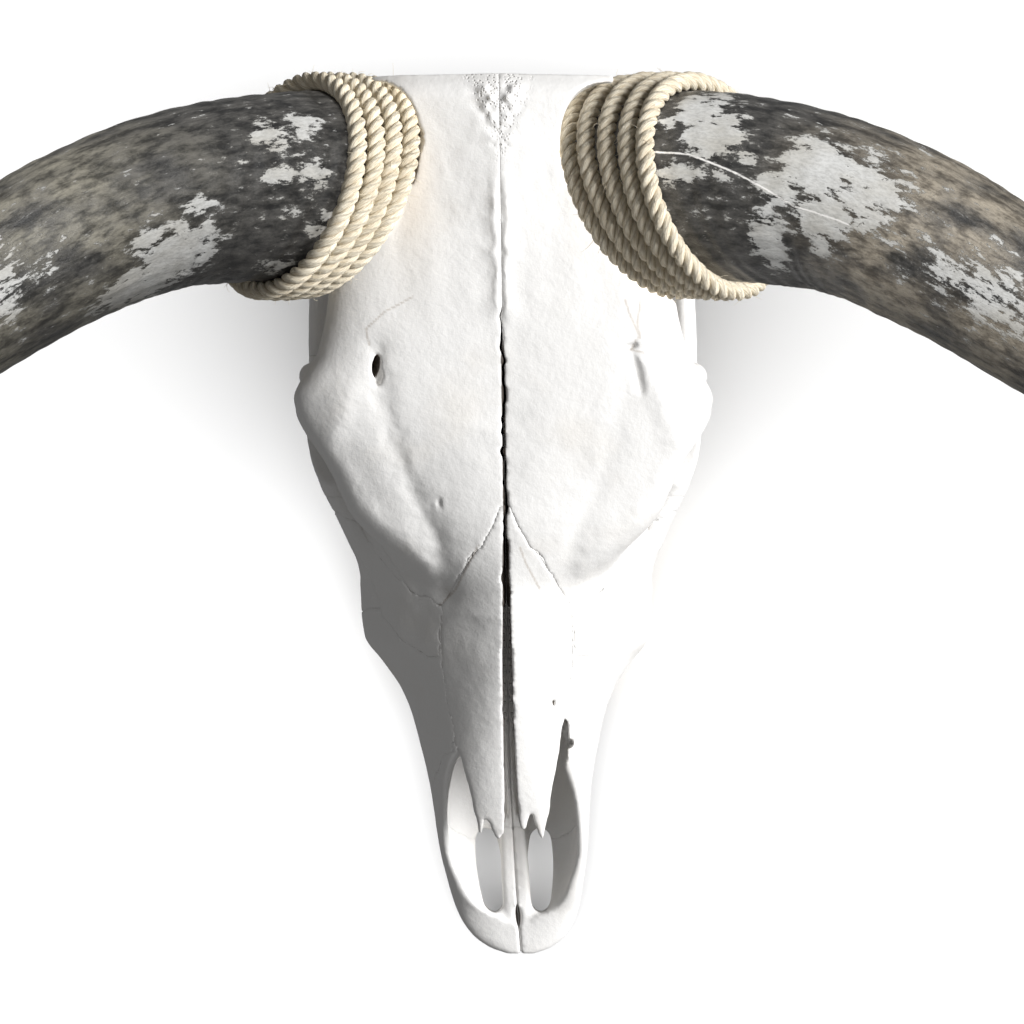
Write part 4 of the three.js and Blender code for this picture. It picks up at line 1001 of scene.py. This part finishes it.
# %% Helpers for node trees
class Finish:
    """A material under construction: add() makes a node, and tie() links an output to an input."""

    def __init__(self, name, roughness, specular=0.35):
        self.material = bpy.data.materials.new(name)
        self.material.use_nodes = True
        self.tree = self.material.node_tree
        self.shader = self.tree.nodes["Principled BSDF"]
        self.shader.inputs["Roughness"].default_value = roughness
        self.shader.inputs["Specular IOR Level"].default_value = specular
        self.object = self.add("ShaderNodeTexCoord").outputs["Object"]

    def add(self, kind, **settings):
        node = self.tree.nodes.new(kind)
        for key, value in settings.items():
            setattr(node, key, value)
        return node

    def tie(self, source, target):
        self.tree.links.new(source, target)

    def put(self, socket, value):
        """Links a socket, or sets a plain number or colour."""
        if isinstance(value, bpy.types.NodeSocket):
            self.tie(value, socket)
        elif isinstance(value, tuple) and len(value) == 3 and socket.type == "RGBA":
            socket.default_value = (*value, 1)
        else:
            socket.default_value = value

    def noise(self, scale, detail=4.0, rough=0.55, at=None, stretch=None):
        """Noise of so many cells a metre, on coordinates that may be stretched first."""
        at = at or self.object
        if stretch:
            mapping = self.add("ShaderNodeMapping")
            mapping.inputs["Scale"].default_value = stretch
            self.tie(at, mapping.inputs["Vector"])
            at = mapping.outputs["Vector"]
        node = self.add("ShaderNodeTexNoise")
        self.tie(at, node.inputs["Vector"])
        for key, value in (("Scale", scale), ("Detail", detail), ("Roughness", rough)):
            node.inputs[key].default_value = value
        return node.outputs["Fac"]

    def value(self, name):
        return self.add("ShaderNodeAttribute", attribute_name=name).outputs["Fac"]

    def step(self, source, low, high):
        """0 below low, 1 above high and smooth between."""
        node = self.add("ShaderNodeMapRange", interpolation_type="SMOOTHSTEP")
        for key, value in (("Value", source), ("From Min", low), ("From Max", high)):
            self.put(node.inputs[key], value)
        return node.outputs["Result"]

    def math(self, operation, a, b=0.0, c=0.0):
        node = self.add("ShaderNodeMath", operation=operation)
        for socket, value in zip(node.inputs, (a, b, c)):
            self.put(socket, value)
        return node.outputs["Value"]

    def mix(self, share, a, b):
        node = self.add("ShaderNodeMix", data_type="RGBA")
        for socket, value in zip((node.inputs["Factor"], node.inputs[6], node.inputs[7]), (share, a, b)):
            self.put(socket, value)
        return node.outputs[2]

    def bump(self, height, distance, before=None):
        node = self.add("ShaderNodeBump")
        node.inputs["Distance"].default_value = distance
        self.tie(height, node.inputs["Height"])
        if before:
            self.tie(before, node.inputs["Normal"])
        return node.outputs["Normal"]

    def dress(self, *pieces):
        for piece in pieces:
            piece.data.materials.clear()
            piece.data.materials.append(self.material)
        print(self.material.name, "on", len(pieces), "pieces")


# %% [markdown]
# ### Bone
#
# Bleached bone is nearly white, a little creamy in broad clouds and a little browner in its pits. Painted
# shade browns it in hollows, makes it creamy beside the left rope and near black in the midline crack.
# Fine cracks and sutures are browned, partly as their own colour and partly as painted shade of their
# creases. Its grain is fine enough to be left to bump, in three sizes.

# %% Bone
bone = Finish("bleached_bone", 0.62, 0.3)
WHITE, CREAM, BROWN, DARK = (0.80, 0.79, 0.775), (0.70, 0.64, 0.55), (0.33, 0.26, 0.19), (0.045, 0.035, 0.027)
clouds = bone.step(bone.noise(16, 5), 0.5, 0.72)
colour = bone.mix(bone.math("MULTIPLY", clouds, 0.2), WHITE, CREAM)
# painted shade beside the left rope: creamy and a little darker
colour = bone.mix(bone.math("MULTIPLY", bone.value("painted_rope_shade"), 0.7), colour, (0.70, 0.62, 0.52))
# painted shade, brown, in hollows both large and small
colour = bone.mix(bone.math("MULTIPLY", bone.step(bone.value("deep_shade"), 0.1, 0.75), 0.62), colour, BROWN)
colour = bone.mix(bone.math("MULTIPLY", bone.step(bone.value("hollow"), 0.25, 0.8), 0.55), colour, BROWN)
pits = bone.add("ShaderNodeTexVoronoi")
pits.inputs["Scale"].default_value = 420
bone.tie(bone.object, pits.inputs["Vector"])
pit = bone.math("SUBTRACT", 1.0, bone.step(pits.outputs["Distance"], 0.12, 0.42))
scarce = bone.step(bone.noise(34, 3), 0.60, 0.72)
where = bone.math("MAXIMUM", bone.math("MULTIPLY", scarce, 0.1), bone.value("porous"))
pitted = bone.math("MULTIPLY", pit, where)
colour = bone.mix(bone.math("MULTIPLY", pitted, 0.14), colour, BROWN)
colour = bone.mix(bone.math("MULTIPLY", bone.value("tooth"), 0.6), colour, (0.62, 0.52, 0.36))
# fine cracks and sutures browned: partly their own colour, partly painted shade of the creases
colour = bone.mix(bone.math("MULTIPLY", bone.step(bone.value("flake"), 0.3, 0.95), 0.42), colour, BROWN)
# painted shade: the midline crack near black
colour = bone.mix(bone.step(bone.value("crack"), 0.45, 0.98), colour, DARK)
bone.tie(colour, bone.shader.inputs["Base Color"])
grain = bone.math("ADD", bone.noise(1500, 3, 0.6), bone.math("MULTIPLY", bone.noise(240, 5, 0.6), 1.6))
normal = bone.bump(grain, 0.00010)
normal = bone.bump(bone.math("SUBTRACT", 1.0, pitted), 0.0005, normal)
normal = bone.bump(bone.noise(60, 4, 0.6), 0.0006, normal)
bone.tie(normal, bone.shader.inputs["Normal"])
bone.dress(*bone_pieces)

# %% [markdown]
# ### Horn
#
# Old horn is charcoal underneath, with pale flaking patches that are drawn out along its length, and it
# turns tan towards the tip. The patches come from a value on the points, and noise that is stretched
# along the horn frays their edges. The right horn has a pale hairline crack, drawn as the distance to a
# line in the UV map.

# %% Horn
CRACK = [(0.068, 0.0690), (0.109, 0.0690), (0.143, 0.0768), (0.186, 0.0893), (0.224, 0.0885)]


def segment_distance(finish, at, a, b):
    """Distance in the UV map to the segment from a to b: |p - clamp(p . e / e . e) e|, p from a."""
    e = Vector((b[0] - a[0], b[1] - a[1], 0))
    p = finish.add("ShaderNodeVectorMath", operation="SUBTRACT")
    finish.tie(at, p.inputs[0])
    p.inputs[1].default_value = (*a, 0)
    dot = finish.add("ShaderNodeVectorMath", operation="DOT_PRODUCT")
    finish.tie(p.outputs[0], dot.inputs[0])
    dot.inputs[1].default_value = e / e.length_squared
    share = finish.add("ShaderNodeClamp")
    finish.tie(dot.outputs["Value"], share.inputs["Value"])
    foot = finish.add("ShaderNodeVectorMath", operation="SCALE")
    foot.inputs[0].default_value = e
    finish.tie(share.outputs[0], foot.inputs["Scale"])
    gone = finish.add("ShaderNodeVectorMath", operation="DISTANCE")
    finish.tie(p.outputs[0], gone.inputs[0])
    finish.tie(foot.outputs[0], gone.inputs[1])
    return gone.outputs["Value"]


TAN = {  # darkest and lightest of the horn's outer part
    "left": ((0.060, 0.056, 0.046), (0.27, 0.252, 0.205)),
    "right": ((0.105, 0.090, 0.070), (0.42, 0.37, 0.295)),
}


def horn_finish(side):
    horn = Finish("weathered_horn_" + side, 0.5, 0.4)
    lay = horn.add("ShaderNodeUVMap", uv_map="Lay").outputs["UV"]
    broad = horn.noise(1, 5, 0.6, lay, (14, 26, 1))
    ragged = horn.noise(1, 9, 0.72, lay, (54, 120, 1))
    fine = horn.noise(1, 6, 0.72, lay, (240, 560, 1))
    pale = horn.value("pale")
    charcoal = horn.mix(horn.step(ragged, 0.36, 0.66), (0.020, 0.0198, 0.0195), (0.115, 0.110, 0.102))
    tan = horn.mix(horn.step(ragged, 0.36, 0.62), *TAN[side])
    worn = horn.math("MULTIPLY", horn.value("warm"), horn.step(broad, 0.36, 0.6))
    colour = horn.mix(worn, charcoal, tan)
    edge = horn.math("ADD", horn.math("MULTIPLY", pale, 0.42), horn.math("MULTIPLY", ragged, 1.8))
    edge = horn.math("ADD", edge, horn.math("MULTIPLY", fine, 0.4))
    flecks = horn.noise(1, 7, 0.7, lay, (95, 230, 1))
    flecks = horn.math("MULTIPLY", horn.step(flecks, 0.62, 0.68), 0.75)
    flake = horn.math("MAXIMUM", horn.step(edge, 1.34, 1.42), flecks)
    tone = horn.mix(horn.step(broad, 0.35, 0.65), (0.62, 0.62, 0.605), (0.50, 0.485, 0.445))
    tone = horn.mix(horn.math("MULTIPLY", horn.step(fine, 0.40, 0.64), 0.35), tone, (0.20, 0.195, 0.18))
    colour = horn.mix(flake, colour, tone)
    if side == "right":
        near = None
        for a, b in zip(CRACK, CRACK[1:]):
            d = segment_distance(horn, lay, a, b)
            near = d if near is None else horn.math("MINIMUM", near, d)
        wavy = horn.math("ADD", near, horn.math("MULTIPLY", horn.math("SUBTRACT", fine, 0.5), 0.0016))
        line = horn.math("SUBTRACT", 1.0, horn.step(wavy, 0.0002, 0.0009))
        colour = horn.mix(line, colour, (0.85, 0.83, 0.80))
    horn.tie(colour, horn.shader.inputs["Base Color"])
    rough = horn.math("ADD", 0.36, horn.math("MULTIPLY", flake, 0.26))
    horn.tie(rough, horn.shader.inputs["Roughness"])
    normal = horn.bump(horn.math("ADD", horn.math("MULTIPLY", flake, 0.5), fine), 0.00035)
    normal = horn.bump(ragged, 0.0010, normal)
    horn.tie(normal, horn.shader.inputs["Normal"])
    horn.dress(horns[side])


for side in SIDES:
    horn_finish(side)

# %% [markdown]
# ### Rope
#
# Natural rope is straw-coloured and streaked by its fibres at a slant, since every strand is itself
# twisted. The streaks are noise drawn out along the strand. The grooves between strands get painted shade,
# brown.

# %% Rope
hemp = Finish("hemp_rope", 0.88, 0.2)
lay = hemp.add("ShaderNodeUVMap", uv_map="Lay").outputs["UV"]
twisted = hemp.add("ShaderNodeMapping")
twisted.inputs["Rotation"].default_value = (0, 0, 0.5)
hemp.tie(lay, twisted.inputs["Vector"])
threads = hemp.noise(1, 4, 0.6, twisted.outputs["Vector"], (180, 1900, 1))
colour = hemp.mix(hemp.step(threads, 0.3, 0.7), (0.58, 0.485, 0.34), (0.92, 0.86, 0.72))
# painted shade, brown, in the grooves between the strands
colour = hemp.mix(hemp.math("MULTIPLY", hemp.step(hemp.value("groove_shade"), 0.35, 1.0), 0.75), colour,
                  (0.30, 0.225, 0.135))
colour = hemp.mix(hemp.math("MULTIPLY", hemp.step(hemp.noise(45, 3), 0.45, 0.7), 0.3), colour,
                  (0.42, 0.34, 0.22))
hemp.tie(colour, hemp.shader.inputs["Base Color"])
hemp.tie(hemp.bump(threads, 0.0008), hemp.shader.inputs["Normal"])
hemp.dress(*ropes)

# %% [markdown]
# ## Floor, light and camera
#
# The floor is pale and plain. One broad light from the right, a little above the horizon, models the
# bone and leaves its left side in shade. The rope has the same light, a little stronger. The horns are
# lit from above and from behind the poll, so that both show their tops. The floor has a light of its
# own that comes from the whole sky above it, so that only soft shadows gather under the skull. The
# camera hangs high above the skull with a long lens, and looks straight down.

# %% Floor
FLOOR_SIZE = 8.0
floor_mesh = bpy.data.meshes.new("floor")
r = FLOOR_SIZE / 2
floor_mesh.from_pydata([(-r, -r, 0), (r, -r, 0), (r, r, 0), (-r, r, 0)], [], [(0, 1, 2, 3)])
floor = bpy.data.objects.new("floor", floor_mesh)
bpy.context.scene.collection.objects.link(floor)
pale_floor = Finish("pale_floor", 0.9, 0.1)
pale_floor.shader.inputs["Base Color"].default_value = (0.86, 0.86, 0.86, 1)
pale_floor.dress(floor)
floor.visible_diffuse = False
floor.visible_glossy = False

# %% Light
LIGHTS = {  # where the rays come from, strength, and spread in degrees
    "bone_key": ((0.86, 0.16, 0.62), 5.3, 34.0),
    "rope_key": ((0.86, 0.16, 0.62), 5.6, 34.0),
    "horn_key": ((0.12, 0.45, 0.88), 3.9, 34.0),
    "floor_light": ((0, 0, 1), 4.8, 75.0),
}
SKY = 0.19


def sun(name, lit, shading=()):
    """A sun whose rays come from a direction, spread over an angle in degrees, for some objects only.
    Where shading names pieces, only these throw shadows in it."""
    come_from, strength, spread = LIGHTS[name]
    light = bpy.data.lights.new(name, "SUN")
    light.energy = strength
    light.angle = np.radians(spread)
    lamp = bpy.data.objects.new(name, light)
    lamp.rotation_euler = Vector(come_from).to_track_quat("Z", "Y").to_euler()
    bpy.context.scene.collection.objects.link(lamp)
    group = bpy.data.collections.new(name + "_lights")
    for piece in lit:
        group.objects.link(piece)
    lamp.light_linking.receiver_collection = group
    if shading:
        blockers = bpy.data.collections.new(name + "_shades")
        for piece in shading:
            blockers.objects.link(piece)
        lamp.light_linking.blocker_collection = blockers
    return lamp


sun("bone_key", bone_pieces, bone_pieces)
sun("rope_key", ropes, ropes)
sun("horn_key", list(horns.values()))
sun("floor_light", [floor])
world = bpy.data.worlds.new("room")
world.use_nodes = True
world.node_tree.nodes["Background"].inputs["Color"].default_value = (1, 1, 1, 1)
world.node_tree.nodes["Background"].inputs["Strength"].default_value = SKY
bpy.context.scene.world = world
bpy.context.scene.view_settings.view_transform = "Standard"

# %% Camera
CAMERA = {"at": (10.1, 5.9, 3650), "lens": 194.9, "sensor": 36.0}
camera_data = bpy.data.cameras.new("camera")
camera_data.lens = CAMERA["lens"]
camera_data.sensor_width = CAMERA["sensor"]
camera_data.clip_end = 50
camera = bpy.data.objects.new("camera", camera_data)
camera.location = Vector(CAMERA["at"]) * MM
bpy.context.scene.collection.objects.link(camera)
bpy.context.scene.camera = camera
